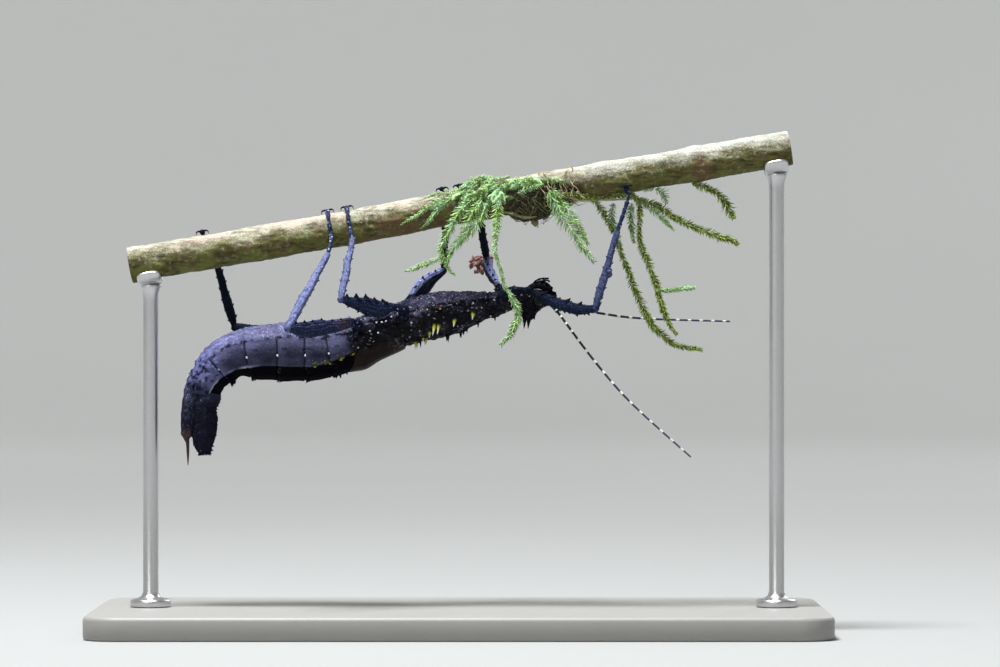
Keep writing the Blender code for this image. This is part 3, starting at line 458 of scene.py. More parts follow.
def hashed(cells, seed):
    """A fixed number from 0 to 1 for each whole-numbered cell."""
    x, y, z = (cells[..., axis].astype(np.int64) for axis in range(3))
    mixed = (x * 73856093) ^ (y * 19349663) ^ (z * 83492791) ^ (seed * 26544357)
    mixed = ((mixed ^ (mixed >> 13)) * 1274126177) & 0xFFFFFFFF
    mixed = ((mixed ^ (mixed >> 15)) * 668265263) & 0xFFFFFFFF
    return ((mixed ^ (mixed >> 12)) & 0xFFFFF) / 0xFFFFF


def noise(points, size, seed=0):
    """Smooth noise from -1 to 1, with features of this size."""
    scaled = np.asarray(points) / size
    low = np.floor(scaled)
    part = scaled - low
    part = part * part * (3 - 2 * part)
    total = 0.0
    for corner in itertools.product((0, 1), repeat=3):
        weight = np.prod(np.where(corner, part, 1 - part), axis=-1)
        total = total + weight * hashed(low + corner, seed)
    return 2 * total - 1


def granules(points, size, seed=0):
    """Round grains, 1 in the middle of a grain and 0 between grains."""
    scaled = np.asarray(points) / size
    low = np.floor(scaled)
    best = np.full(scaled.shape[:-1], 9.0)
    for shift in itertools.product((-1, 0, 1), repeat=3):
        cell = low + shift
        jitter = np.stack([hashed(cell, seed + axis) for axis in range(3)], axis=-1)
        best = np.minimum(best, ((scaled - cell - 0.15 - 0.7 * jitter) ** 2).sum(axis=-1))
    return np.clip(1 - np.sqrt(best) / 0.52, 0, 1)


# ---------------------------------------------------------------- meshes


def route_frame(points, up):
    """The directions along a route, to its up side and to its far side, at each point."""
    along = directions(points)
    rise = unit(up - along * (along @ up)[:, None])
    side = np.cross(along, rise)
    if side[:, 1].mean() < 0:
        side = -side
    return along, rise, side


def sweep(path, up, half_up, half_side, sides):
    """Rings round a path. Angle 0 is the up side, and a quarter turn is the far side."""
    path = np.asarray(path, float)
    _, rise, side = route_frame(path, up)
    angles = 2 * np.pi * np.arange(sides) / sides
    high = np.broadcast_to(half_up, len(path))[:, None] * np.cos(angles)
    wide = np.broadcast_to(half_side, len(path))[:, None] * np.sin(angles)
    return path[:, None] + rise[:, None] * high[..., None] + side[:, None] * wide[..., None]


def puffed(grid, amount):
    """Moves a grid of rings outwards from the middle of each ring."""
    outward = unit(grid - grid.mean(axis=1, keepdims=True))
    return grid + outward * np.asarray(amount)[..., None]


class Shape:
    """Surfaces in millimetres that become one mesh, with named values at its points."""

    def __init__(self):
        self.points = []
        self.faces = []
        self.values = {}
        self.count = 0

    def add(self, points, faces, values):
        points = np.asarray(points, float).reshape(-1, 3)
        for name in {*self.values, *values}:
            column = self.values.setdefault(name, [np.zeros(self.count)])
            given = np.asarray(values.get(name, 0.0), float)
            column.append(np.broadcast_to(given, len(points)) if given.ndim == 0 else given.reshape(-1))
        self.faces += [group + self.count for group in faces]
        self.points.append(points)
        self.count += len(points)

    def skin(self, grid, **values):
        """A closed skin over rings of points, with a fan over each end."""
        rings, sides = grid.shape[:2]
        ids = np.arange(rings * sides).reshape(rings, sides)
        after = np.roll(ids, -1, axis=1)
        quads = np.stack([ids[:-1], after[:-1], after[1:], ids[1:]], axis=-1).reshape(-1, 4)
        first = np.stack([np.full(sides, rings * sides), after[0], ids[0]], axis=-1)
        last = np.stack([np.full(sides, rings * sides + 1), ids[-1], after[-1]], axis=-1)
        points = np.concatenate([grid.reshape(-1, 3), [grid[0].mean(axis=0), grid[-1].mean(axis=0)]])
        a, b, c, d = (points[quads[:, corner]] - points.mean(axis=0) for corner in range(4))
        volume = (a * np.cross(b, c)).sum() + (a * np.cross(c, d)).sum()
        faces = [quads, first, last] if volume > 0 else [group[:, ::-1] for group in (quads, first, last)]
        spread = {}
        for name, value in values.items():
            value = np.asarray(value, float)
            if value.ndim:
                value = np.broadcast_to(value if value.ndim == 2 else value[:, None], (rings, sides))
                value = np.concatenate([value.reshape(-1), [value[0].mean(), value[-1].mean()]])
            spread[name] = value
        self.add(points, faces, spread)

    def spine(self, root, way, long, radius, bend=(0, 0, 0), flat=1.0, sides=10, **values):
        """A pointed, slightly bent cone that stands on the skin. Its value tip runs from 0 to 1."""
        part = np.linspace(0, 1, 9)
        way = unit(np.asarray(way, float))
        root = np.asarray(root, float)
        path = root + way * (part * long - 0.18 * radius)[:, None]
        path = path + np.asarray(bend, float) * (part**2 * long)[:, None]
        size = radius * ((1 - part) ** 0.9 + 0.55 * np.exp(-part * 9)) + 0.012
        up = FRONT if abs(way[0]) < 0.8 else UP
        self.skin(sweep(path, up, size, size * flat, sides), tip=part, **values)

    def build(self, name, finish, slot, *nodes):
        """Makes the object, which rides on the body and stands for these CAD nodes."""
        points = np.concatenate(self.points) * MM
        mesh = bpy.data.meshes.new(name)
        mesh.vertices.add(len(points))
        mesh.vertices.foreach_set("co", points.astype(np.float32).ravel())
        corners = np.concatenate([group.ravel() for group in self.faces])
        sizes = np.concatenate([np.full(len(group), group.shape[1]) for group in self.faces])
        mesh.loops.add(len(corners))
        mesh.loops.foreach_set("vertex_index", corners.astype(np.int32))
        mesh.polygons.add(len(sizes))
        mesh.polygons.foreach_set("loop_start", (np.cumsum(sizes) - sizes).astype(np.int32))
        mesh.polygons.foreach_set("use_smooth", np.ones(len(sizes), bool))
        for label, columns in self.values.items():
            layer = mesh.attributes.new(label, "FLOAT", "POINT")
            layer.data.foreach_set("value", np.concatenate(columns).astype(np.float32))
        mesh.update(calc_edges=True)
        mesh.materials.append(finish)
        piece = bpy.data.objects.new(name, mesh)
        bpy.context.scene.collection.objects.link(piece)
        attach(piece, "root")
        if nodes:
            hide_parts(*nodes)
        return piece


# ---------------------------------------------------------------- materials


class Value:
    """A shader socket on which Python's operators add Math nodes."""

    def __init__(self, finish, socket):
        self.finish = finish
        self.socket = socket

    def math(self, operation, first, second):
        return self.finish.node("ShaderNodeMath", {"operation": operation}, {0: first, 1: second})

    def __add__(self, other):
        return self.math("ADD", self, other)

    def __radd__(self, other):
        return self.math("ADD", other, self)

    def __sub__(self, other):
        return self.math("SUBTRACT", self, other)

    def __rsub__(self, other):
        return self.math("SUBTRACT", other, self)

    def __mul__(self, other):
        return self.math("MULTIPLY", self, other)

    def __rmul__(self, other):
        return self.math("MULTIPLY", other, self)


class Finish:
    """A procedural material. Its place is the point on the object, in millimetres."""

    def __init__(self, name, **constants):
        self.material = bpy.data.materials.new(name)
        self.material.use_nodes = True
        self.tree = self.material.node_tree
        self.shader = self.tree.nodes["Principled BSDF"]
        for socket, value in constants.items():
            self.shader.inputs[socket.replace("_", " ")].default_value = value
        spot = self.node("ShaderNodeTexCoord", output="Object")
        self.place = self.node("ShaderNodeVectorMath", {"operation": "SCALE"}, {0: spot, "Scale": 1 / MM})
        self.colour = None

    def node(self, kind, settings=None, sockets=None, output=0):
        made = self.tree.nodes.new(kind)
        for name, value in (settings or {}).items():
            setattr(made, name, value)
        for name, value in (sockets or {}).items():
            self.plug(made.inputs[name], value)
        return Value(self, made.outputs[output])

    def plug(self, socket, value):
        if isinstance(value, Value):
            self.tree.links.new(value.socket, socket)
        else:
            socket.default_value = value

    def put(self, name, value):
        self.plug(self.shader.inputs[name], value)

    def mask(self, name):
        return self.node("ShaderNodeAttribute", {"attribute_name": name}, output="Fac")

    def noise(self, size, detail=3.0, stretch=(1, 1, 1)):
        scale = [1 / (size * share) for share in stretch]
        where = self.node("ShaderNodeVectorMath", {"operation": "MULTIPLY"}, {0: self.place, 1: scale})
        return self.node("ShaderNodeTexNoise", None, {"Vector": where, "Scale": 1.0, "Detail": detail}, "Fac")

    def cells(self, size):
        return self.node("ShaderNodeTexVoronoi", None, {"Vector": self.place, "Scale": 1 / size}, "Distance")

    def step(self, value, low, high):
        """A soft step from 0 at low to 1 at high."""
        sockets = {"Value": value, "From Min": low, "From Max": high}
        return self.node("ShaderNodeMapRange", {"interpolation_type": "SMOOTHSTEP"}, sockets)

    def mix(self, factor, first, second):
        settings = {"data_type": "RGBA", "blend_type": "MIX", "clamp_factor": True}
        return self.node("ShaderNodeMix", settings, {0: factor, 6: first, 7: second}, 2)

    def patches(self, low, high, size, detail=3.0):
        """Soft-edged patches: noise of this size, cut between low and high."""
        return self.step(self.noise(size, detail), low, high)

    def paint(self, factor, colour):
        """Lays a colour over the finish's colour so far."""
        self.colour = self.mix(factor, self.colour, colour)

    def bump(self, height, depth):
        """Depth is in millimetres, for a height from 0 to 1."""
        sockets = {"Height": height, "Strength": 1.0, "Distance": depth * MM}
        self.put("Normal", self.node("ShaderNodeBump", None, sockets))


def colours():
    return bpy.context.scene.insect_colours


def sizes():
    return bpy.context.scene.insect_sizes


def shared(name, make):
    """The finish of this name, made now if no piece has used it yet."""
    return bpy.data.materials.get(name) or make()


def shade(colour, factor):
    """A colour made darker or lighter."""
    return (*[min(1.0, part * factor) for part in colour[:3]], 1.0)


def skin_finish():
    """Dusty violet belly, glossy black back, pale lips and dots, cream and rust spines. The dark and pale
    masks also carry painted shade, painted highlights and painted glints.
    """
    finish = Finish("insect_skin", Specular_IOR_Level=0.0, Coat_Roughness=0.1)
    hue = colours()
    broad, fine, grain = finish.noise(1.6), finish.noise(0.28, 4.0), finish.cells(0.33)
    given, mottle = finish.mask("tone"), finish.mask("mottle")
    blots = finish.patches(0.38, 0.62, 0.75, 4.0)
    tone = given * (0.72 + 0.56 * broad) * (1 - 0.62 * mottle * (1 - blots))
    finish.colour = finish.mix(tone, hue.back, hue.belly)
    warm = finish.patches(0.44, 0.6, 1.9, 3.0) * mottle
    finish.paint(0.55 * warm * tone, WARM_DUST)
    speck = finish.patches(0.6, 0.68, 0.28, 2.0) * (0.02 + 1.6 * given) * mottle
    finish.paint(0.9 * speck, hue.lip)
    finish.paint(finish.mask("blue") * tone, BLUE_DUST)
    # The dark mask holds dashes, seams and blots, and also painted shade between grains
    patchy_marks = finish.step(fine, 0.3, 0.48) * finish.mask("dark")
    finish.paint(0.92 * patchy_marks, shade(hue.back, 0.8))
    # The pale mask holds dots and dust, and also painted highlights and glints
    finish.paint(finish.mask("pale"), hue.lip)
    grown = finish.step(finish.mask("green"), 0.1, 0.5)
    growth = finish.mix(fine, shade(hue.algae, 0.2), shade(hue.algae, 1.1))
    finish.paint(0.9 * grown, growth)
    height = finish.mask("tip")
    tip = finish.step(height, 0.62, 0.92)
    cream = finish.mask("cream") * finish.step(height + 0.5 * (fine - 0.5), 0.04, 0.36)
    yellowing = finish.step(height + 0.7 * (fine - 0.5), 0.18, 0.7)
    pointed = finish.mix(yellowing, shade(hue.algae, 0.7), hue.cream)
    pointed = finish.mix(tip, pointed, shade(hue.lip, 1.3))
    finish.paint(cream, pointed)
    finish.paint(finish.mask("rust") * (1 - tip), hue.rust)
    finish.put("Base Color", finish.colour)
    finish.put("Roughness", 0.18 + 0.26 * tone + 0.18 * fine)
    finish.put("Coat Weight", 0.12 * finish.mask("gloss"))
    finish.bump((0.5 * fine + 0.6 * (1 - grain)) * (1 - 0.8 * finish.mask("slick")), 0.1)
    return finish.material


def limb_finish():
    """Violet to black skin of the legs, with light grains and darker keels."""
    finish = Finish("insect_limb", Specular_IOR_Level=0.01)
    hue = colours()
    broad, fine = finish.noise(1.1), finish.noise(0.22, 4.0)
    tone = finish.mask("tone") * (0.7 + 0.6 * broad)
    finish.colour = finish.mix(5 * tone, hue.dark, hue.navy)
    finish.paint(1.25 * tone - 0.25, hue.violet)
    stain = finish.patches(0.5, 0.66, 0.5, 4.0)
    finish.paint(0.6 * stain, shade(hue.dark, 1.8))
    finish.paint(finish.mask("keel") * 0.75, shade(hue.dark, 1.5))
    # Pale dots, partly specks and partly painted wet highlights, more on the lighter parts
    dots = finish.patches(0.58, 0.68, 0.24, 2.0) * (0.015 + 0.62 * finish.mask("tone"))
    finish.paint(dots + finish.mask("pale"), hue.lip)
    finish.paint(finish.mask("rust"), hue.rust)
    finish.put("Base Color", finish.colour)
    finish.put("Roughness", 0.24 + 0.3 * fine)
    finish.bump(0.6 * fine + 0.6 * (1 - finish.cells(0.3)), 0.07)
    return finish.material


def feeler_finish():
    """Black segments with light rings between them."""
    finish = Finish("insect_feeler", Roughness=0.42, Specular_IOR_Level=0.2)
    hue = colours()
    fine = finish.noise(0.16)
    finish.colour = finish.mix(fine, shade(hue.dark, 0.7), shade(hue.dark, 2.2))
    finish.paint(0.16 * finish.mask("tone"), hue.violet)
    finish.paint(finish.mask("pale"), hue.ring)
    finish.put("Base Color", finish.colour)
    finish.bump(fine, 0.02)
    return finish.material


def wing_finish():
    """Brown-black leather with raised veins and a pinkish bloom at the root."""
    finish = Finish("insect_wing", Specular_IOR_Level=0.07)
    hue = colours()
    fine, broad = finish.noise(0.2, 4.0), finish.noise(1.3)
    finish.colour = finish.mix(broad, hue.wing, shade(hue.wing, 1.7))
    finish.paint(finish.mask("keel") * 0.4, shade(hue.wing, 1.9))
    bloom = finish.patches(0.46, 0.6, 0.45, 4.0) * finish.mask("pale")
    finish.paint(0.5 * bloom, WING_BLOOM)
    finish.put("Base Color", finish.colour)
    finish.put("Roughness", 0.32 + 0.24 * fine)
    finish.bump(fine, 0.03)
    return finish.material


def eye_finish():
    """Dark, glossy eye with small facets and a paler rim."""
    finish = Finish("insect_eye", Roughness=0.2, Specular_IOR_Level=0.1, Coat_Weight=0.05)
    hue = colours()
    facets = finish.cells(0.07)
    finish.colour = finish.mix(finish.noise(0.5), hue.eye, shade(hue.eye, 1.6))
    finish.paint(finish.mask("pale"), EYE_RIM)
    finish.put("Base Color", finish.colour)
    finish.bump(1 - facets, 0.012)
    return finish.material


def bark_finish():
    """Pale upper side, weathered and with painted light from above, olive-brown under side with painted
    shade, crusts of lichen, a moist knot, and hollows painted dark as shade.
    """
    finish = Finish("twig_bark", Specular_IOR_Level=0.25)
    hue = colours()
    facing_up, grey = finish.mask("upper"), finish.mask("grey")
    streak = finish.noise(0.55, 5.0, (3.2, 1, 1))
    fine = finish.noise(0.22, 5.0)
    patch = finish.noise(2.6, 4.0, (1.6, 1, 1))
    upper = finish.step(facing_up + 0.9 * (patch - 0.5) + 0.8 * (fine - 0.5), 0.34, 0.92)
    low = finish.mix(finish.step(streak, 0.3, 0.7), shade(hue.bark_low, 0.5), shade(hue.bark_low, 1.6))
    olive = finish.step(patch, 0.46, 0.6) * (1 - 0.6 * grey)
    low = finish.mix(0.7 * olive, low, OLIVE_BARK)
    reddish = finish.patches(0.54, 0.64, 4.6, 3.0)
    low = finish.mix(0.6 * reddish, low, RED_BARK)
    top = finish.mix(finish.step(streak, 0.25, 0.75), shade(hue.bark_top, 0.45), shade(hue.bark_top, 1.35))
    rosy = finish.patches(0.48, 0.64, 3.4, 2.0)
    top = finish.mix(0.5 * rosy, top, ROSY_BARK)
    top = finish.mix(grey * (0.35 + 0.5 * streak), top, GREY_BARK)
    finish.colour = finish.mix(upper, low, top)
    crust = finish.patches(0.56, 0.66, 0.8, 6.0)
    finish.paint(0.42 * crust * (0.25 + 0.75 * facing_up), hue.lichen)
    grit = finish.patches(0.56, 0.72, 0.16, 2.0)
    finish.paint(0.75 * grit, finish.mix(streak, shade(hue.bark_low, 0.5), hue.bark_low))
    spots = finish.step(finish.noise(0.42, 3.0, (1.5, 1, 1)), 0.64, 0.7)
    finish.paint(0.4 * spots, shade(hue.bark_low, 0.35))
    # This dark also paints the shade in the hollows beside the knot
    damp_and_shade = finish.mix(finish.patches(0.4, 0.66, 0.5, 5.0), *KNOT_SHADES)
    finish.paint(finish.mask("knot") * 0.9, damp_and_shade)
    finish.paint(finish.mask("cut"), finish.mix(finish.mask("rings"), *CUT_WOOD))
    finish.put("Base Color", finish.colour)
    finish.put("Roughness", 0.68 + 0.25 * fine)
    finish.bump(0.7 * streak + 0.6 * fine + 0.4 * crust, 0.1)
    return finish.material


def moss_finish():
    """Fresh to old green, paler at the tips of the leaves, partly as painted light shining through them,
    brown stems and reddish crumbs.
    """
    finish = Finish("moss", Roughness=0.55, Specular_IOR_Level=0.3)
    hue = colours()
    blotch = finish.noise(0.7)
    fresh, along = finish.mask("fresh"), finish.mask("tip")
    finish.colour = finish.mix(fresh * finish.step(blotch, 0.25, 0.62), hue.old_leaf, hue.leaf)
    mint = finish.patches(0.47, 0.6, 2.4, 2.0) * fresh
    finish.paint(0.55 * mint, MINT_LEAF)
    # Painted light: the pale tips also stand for light shining through the leaves
    tips = finish.step(along, 0.3, 1.0) * (0.1 + 0.7 * fresh)
    finish.paint(tips, PALE_LEAF_TIP)
    olive = finish.mix(finish.step(along + blotch - 0.5, 0.1, 0.9), *OLIVE_LEAVES)
    finish.paint(finish.mask("olive"), olive)
    finish.paint(finish.mask("stem"), MOSS_STEM)
    finish.paint(finish.mask("dry"), DRY_MOSS)
    finish.paint(finish.mask("rust"), finish.mix(blotch, *RED_CRUMBS))
    finish.put("Base Color", finish.colour)
    finish.bump(finish.noise(0.12), 0.02)
    return finish.material


def steel_finish():
    """Brushed steel, turned round the rod."""
    finish = Finish("stand_steel", Metallic=1.0)
    hue = colours()
    brush = finish.noise(0.09, 4.0, (9, 9, 1))
    finish.put("Base Color", finish.mix(brush, shade(hue.steel, 0.86), shade(hue.steel, 1.1)))
    finish.put("Roughness", 0.24 + 0.16 * brush)
    finish.bump(brush, 0.008)
    return finish.material


def board_finish():
    """Matt lacquer with a faint orange-peel surface."""
    finish = Finish("stand_board", Specular_IOR_Level=0.4)
    hue = colours()
    cloud, peel = finish.noise(14.0, 3.0), finish.noise(0.5, 3.0)
    finish.put("Base Color", finish.mix(cloud, shade(hue.board, 0.95), shade(hue.board, 1.04)))
    finish.put("Roughness", 0.42 + 0.14 * peel)
    finish.bump(peel, 0.012)
    return finish.material


def floor_finish():
    """Plain pale paper."""
    finish = Finish("studio_floor", Roughness=0.9, Specular_IOR_Level=0.1)
    finish.put("Base Color", finish.mix(finish.noise(400.0, 2.0), *FLOOR_SHADES))
    return finish.material


# ---------------------------------------------------------------- stand


def build_plinth():
    """A slab with round corners and softly rounded edges."""
    steps = 15
    corners = []
    for number, (sign_x, sign_y) in enumerate(((1, 1), (-1, 1), (-1, -1), (1, -1))):
        turn = np.radians(np.linspace(0, 90, steps)) + number * math.pi / 2
        centre_x = sign_x * (BASE_LENGTH / 2 - BASE_CORNER)
        centre_y = sign_y * (BASE_DEPTH / 2 - BASE_CORNER)
        columns = [np.cos(turn), np.sin(turn), np.full(steps, centre_x), np.full(steps, centre_y)]
        corners.append(np.stack(columns, axis=1))
    outline = np.concatenate(corners)
    rings = []
    for inset, height in PLINTH_RINGS:
        flat = outline[:, :2] * (BASE_CORNER - inset) + outline[:, 2:]
        rings.append(np.column_stack([flat, np.full(len(flat), height)]))
    shape = Shape()
    shape.skin(np.array(rings))
    shape.build("stand_plinth", board_finish(), "board", "stand_base")


def rod_profile(top):
    """Radius and height of a turned rod, from the flange on the base up to its cradle."""
    foot = BASE_HEIGHT
    return np.array((
        (FOOT_RADIUS - 0.25, foot + 0.02), (FOOT_RADIUS, foot + 0.22), (FOOT_RADIUS, foot + 0.95),
        (FOOT_RADIUS - 0.12, foot + 1.2), (FOOT_RADIUS - 0.45, foot + 1.42), (ROD_RADIUS + 0.9, foot + 1.55),
        (ROD_RADIUS + 0.3, foot + 1.9), (ROD_RADIUS, foot + 2.6), (ROD_RADIUS, foot + 20),
        (ROD_RADIUS, top - 3.0), (ROD_RADIUS + 0.06, top - 1.6), (ROD_RADIUS + 0.35, top - 0.8),
        (ROD_RADIUS + 0.6, top - 0.25),
    ))


def cradle(x):
    """An open ring with rounded edges and ends, which holds the twig from below."""
    turns = np.linspace(180 - CRADLE_SPREAD, 180 + CRADLE_SPREAD, 49)
    outline = np.radians(np.linspace(0, 360, 28, endpoint=False))
    across, deep = (
        np.sign(wave) * np.abs(wave) ** 0.4 * half
        for wave, half in zip((np.cos(outline), np.sin(outline)), CRADLE_HALF)
    )
    ease = np.sqrt(np.clip(1 - (np.abs(turns - 180) / (CRADLE_SPREAD + 0.6)) ** 14, 0.02, 1))
    return np.array([
        on_twig(x + across * size, turn, CRADLE_MIDDLE + deep * size) for turn, size in zip(turns, ease)
    ])


def build_rods():
    finish = steel_finish()
    for name, x in (("stand_rod_left", -ROD_PLACE), ("stand_rod_right", ROD_PLACE)):
        top = on_twig(x, 180, CRADLE_MIDDLE)
        profile = rod_profile(top[2])
        level = np.ones(len(profile))
        path = np.column_stack([top[0] * level, twig_centre(x)[1] * level, profile[:, 1]])
        shape = Shape()
        shape.skin(sweep(path, FRONT, profile[:, 0], profile[:, 0], 48))
        shape.skin(cradle(x))
        shape.build(name + "_turned", finish, "steel", name)


# ---------------------------------------------------------------- twig and moss


def twig_centre(x):
    x = np.asarray(x, float)
    return np.stack([x, 0.25 * np.sin(x / 9.0), 72.1 + 0.1806 * x + 0.2 * np.sin(x / 13.0)], axis=-1)


def twig_axis(x):
    return unit(twig_centre(np.asarray(x) + 0.5) - twig_centre(np.asarray(x) - 0.5))


def on_twig(x, angle, height):
    """Points beside the twig. The angle, in degrees, runs from the top towards -Y."""
    x, angle, height = np.broadcast_arrays(*(np.asarray(value, float) for value in (x, angle, height)))
    up = unit(np.cross(FAR, -twig_axis(x)))
    turn = np.radians(angle)[..., None]
    return twig_centre(x) + (up * np.cos(turn) - FAR * np.sin(turn)) * (TWIG_RADIUS + height)[..., None]


def knot(x, angle):
    """Height of the swollen knot, which is under the twig."""
    under = np.maximum(0.0, -np.cos(np.radians(angle))) ** 2
    return KNOT_HEIGHT * np.exp(-(((x - KNOT_PLACE) / KNOT_LENGTH) ** 4)) * under


def bark_relief(x, angle, base):
    """Height of the bark over the plain twig, and how much each point belongs to the moist knot and its
    hollows, which are painted dark; in the hollows that dark is painted shade.
    """
    along = base * (0.3, 1, 1)
    high = sizes().bark / MM
    rough = 0.06 * np.sin(x / 3.1 + 2 * np.radians(angle)) + 0.05 * np.sin(x / 1.9)
    rough += high * (0.8 * noise(along, 0.9, 3) + 0.8 * noise(along, 0.45, 4) + 0.5 * noise(base, 0.4, 7))
    rough += 0.7 * high * noise(base, 3.0, 5)
    rough += 1.1 * high * granules(base * (0.7, 1, 1), 1.5, 6) * smooth(noise(base, 5.0, 8), -0.1, 0.5)
    around = smooth(np.minimum(angle, 360 - angle), 52, 78)
    near_knot = np.exp(-(((x - KNOT_PLACE - 0.6) / (KNOT_LENGTH + 2.4)) ** 6)) * around
    rough += near_knot * (0.34 * noise(base, 1.3, 9) + 0.22 * noise(base, 0.5, 10))
    rough += near_knot * (0.25 * granules(base, 0.9, 11) + 0.16 * noise(base * (0.4, 1.6, 1.6), 0.35, 14))
    # Painted shade: the hollows join the knot mask and so are painted dark
    hollow = peak(x, 18.9, 1.3) * peak(angle, 128, 26) + 0.7 * peak(x, 14.6, 0.9) * peak(angle, 118, 16)
    rough -= 1.15 * hollow * (1 + 0.4 * noise(base, 0.6, 12))
    scar = peak(x, -30.0, 0.9) * peak(np.abs(angle - 180), 30, 30) + peak(x, 40.0, 0.7)
    rough += 0.22 * scar * (0.6 + 0.4 * noise(base, 0.8, 13))
    return rough, np.clip(near_knot + hollow, 0, 1)


def build_twig():
    """The twig's bark, knot and two flat, ringed cut ends."""
    long_steps, sides, cut_steps = 560, 120, 12
    xs = np.linspace(-TWIG_HALF_LENGTH, TWIG_HALF_LENGTH, long_steps)
    x, angle = np.meshgrid(xs, np.linspace(0, 360, sides, endpoint=False), indexing="ij")
    rough, damp_and_shade = bark_relief(x, angle, on_twig(x, angle, 0.0))
    grid = on_twig(x, angle, knot(x, angle) + rough)
    ends = []
    for end in (0, -1):
        centre = grid[end].mean(axis=0)
        ends.append([centre + (grid[end] - centre) * part for part in np.linspace(0.04, 0.96, cut_steps)])
    whole = np.concatenate([ends[0], grid, ends[1][::-1]])
    outwards, level = np.linspace(0, 1, cut_steps), np.zeros(long_steps)
    rings = np.concatenate([outwards, level, outwards[::-1]])[:, None] * 31 + 2.2 * noise(whole, 2.4, 15)
    pad = np.zeros((cut_steps, sides))
    shape = Shape()
    shape.skin(
        whole,
        # Painted light: this value makes the upper side paler and the under side darker
        upper=np.concatenate([pad, 0.5 + 0.5 * np.cos(np.radians(angle + 12)), pad]),
        knot=np.concatenate([pad, damp_and_shade, pad]),
        cut=np.concatenate([np.ones(cut_steps), level, np.ones(cut_steps)]),
        rings=0.5 + 0.5 * np.sin(rings),
        grey=np.concatenate([pad, smooth(x, 17.0, 24.0), pad]),
    )
    shape.build("twig_bark", bark_finish(), "bark", "twig")


LEAF_STATIONS = np.array((0.0, 0.25, 0.62, 1.0))


def leaf_template():
    """A thin closed leaf along +X, one long and one wide, as rings of four points and their faces."""
    part = LEAF_STATIONS
    wide = np.sin(np.pi * np.clip(part, 0.04, 0.985) ** 0.72) ** 0.8 * 0.5 + 0.01
    keel = -0.16 * np.sin(np.pi * part)
    rings = [
        ((place, half, 0.1), (place, 0, drop + 0.05), (place, -half, 0.1), (place, 0, drop - 0.05))
        for place, half, drop in zip(part, wide, keel)
    ]
    shape = Shape()
    shape.skin(np.array(rings))
    return shape.points[0], shape.faces


def add_leaves(shape, roots, ways, ups, longs, wides, curl, fresh, olive=0.0):
    """Many leaves at once. Each has a root, a direction, an upper side, a length, a width and a shade."""
    points, faces = leaf_template()
    ways = unit(ways)
    sides = unit(np.cross(ups, ways))
    ups = np.cross(ways, sides)
    part = points[:, 0]
    drop = -(part**2)[None, :] * np.asarray(curl)[:, None] * longs[:, None]
    made = roots[:, None] + ways[:, None] * (part[None, :] * longs[:, None])[..., None]
    made = made + sides[:, None] * (points[:, 1][None, :] * wides[:, None])[..., None]
    made = made + ups[:, None] * (points[:, 2][None, :] * wides[:, None] + drop)[..., None]
    shift = (np.arange(len(roots)) * len(points))[:, None, None]
    groups = [(group[None] + shift).reshape(-1, group.shape[1]) for group in faces]
    values = {"tip": np.tile(part, len(roots)), "fresh": np.repeat(fresh, len(points)), "olive": olive}
    shape.add(made, groups, values)


def frond(shape, route, leaf, kind, fresh, rng, stem=0.1):
    """A stem with ranks of leaves, of one of the kinds of shoot, its flat side to the front."""
    spacing, width, ranks, spread, shares = MOSS_KINDS[kind]
    count = max(4, int(curve_length(route) / spacing))
    part = np.linspace(0, 1, count)
    points = sampled(route, count)
    sway = np.stack([noise(points, 1.9, 25 + axis) for axis in range(3)], axis=1)
    points = points + 0.3 * sway * smooth(part, 0.0, 0.2)[:, None]
    along = directions(points)
    face = unit(NEAR - along * (along @ NEAR)[:, None])
    side = np.cross(along, face)
    thick = stem * (1.15 - 0.65 * part)
    shape.skin(sweep(points, NEAR, thick, thick, 6), stem=1.0 - 0.5 * fresh, fresh=fresh)
    grown = np.interp(part, np.linspace(0, 1, len(shares)), shares) * (1 + 0.22 * noise(points, 1.7, 24))
    olive = 0.85 * (kind == "comb" and fresh < 0.6)
    for rank in range(ranks):
        turn = 2 * math.pi * rank / ranks + 0.25 * rng.normal(size=count)
        out = side * np.cos(turn)[:, None] + face * np.sin(turn)[:, None]
        lean = np.radians(spread + 8 * rng.normal(size=count)) * (1 - 0.3 * part)
        ways = along * np.cos(lean)[:, None] + out * np.sin(lean)[:, None]
        ups = face + 0.45 * rng.normal(size=(count, 3))
        longs = leaf * grown * (0.8 + 0.35 * rng.random(count)) * (0.45 + 0.55 * np.abs(np.cos(turn)))
        wides = sizes().leaf_width / MM * width * (0.75 + 0.5 * rng.random(count))
        shade_of = np.clip(fresh + 0.22 * rng.normal(size=count), 0.02, 1)
        curl = 0.25 + 0.2 * rng.random(count)
        add_leaves(shape, points + out * thick[:, None] * 0.6, ways, ups, longs, wides, curl, shade_of, olive)


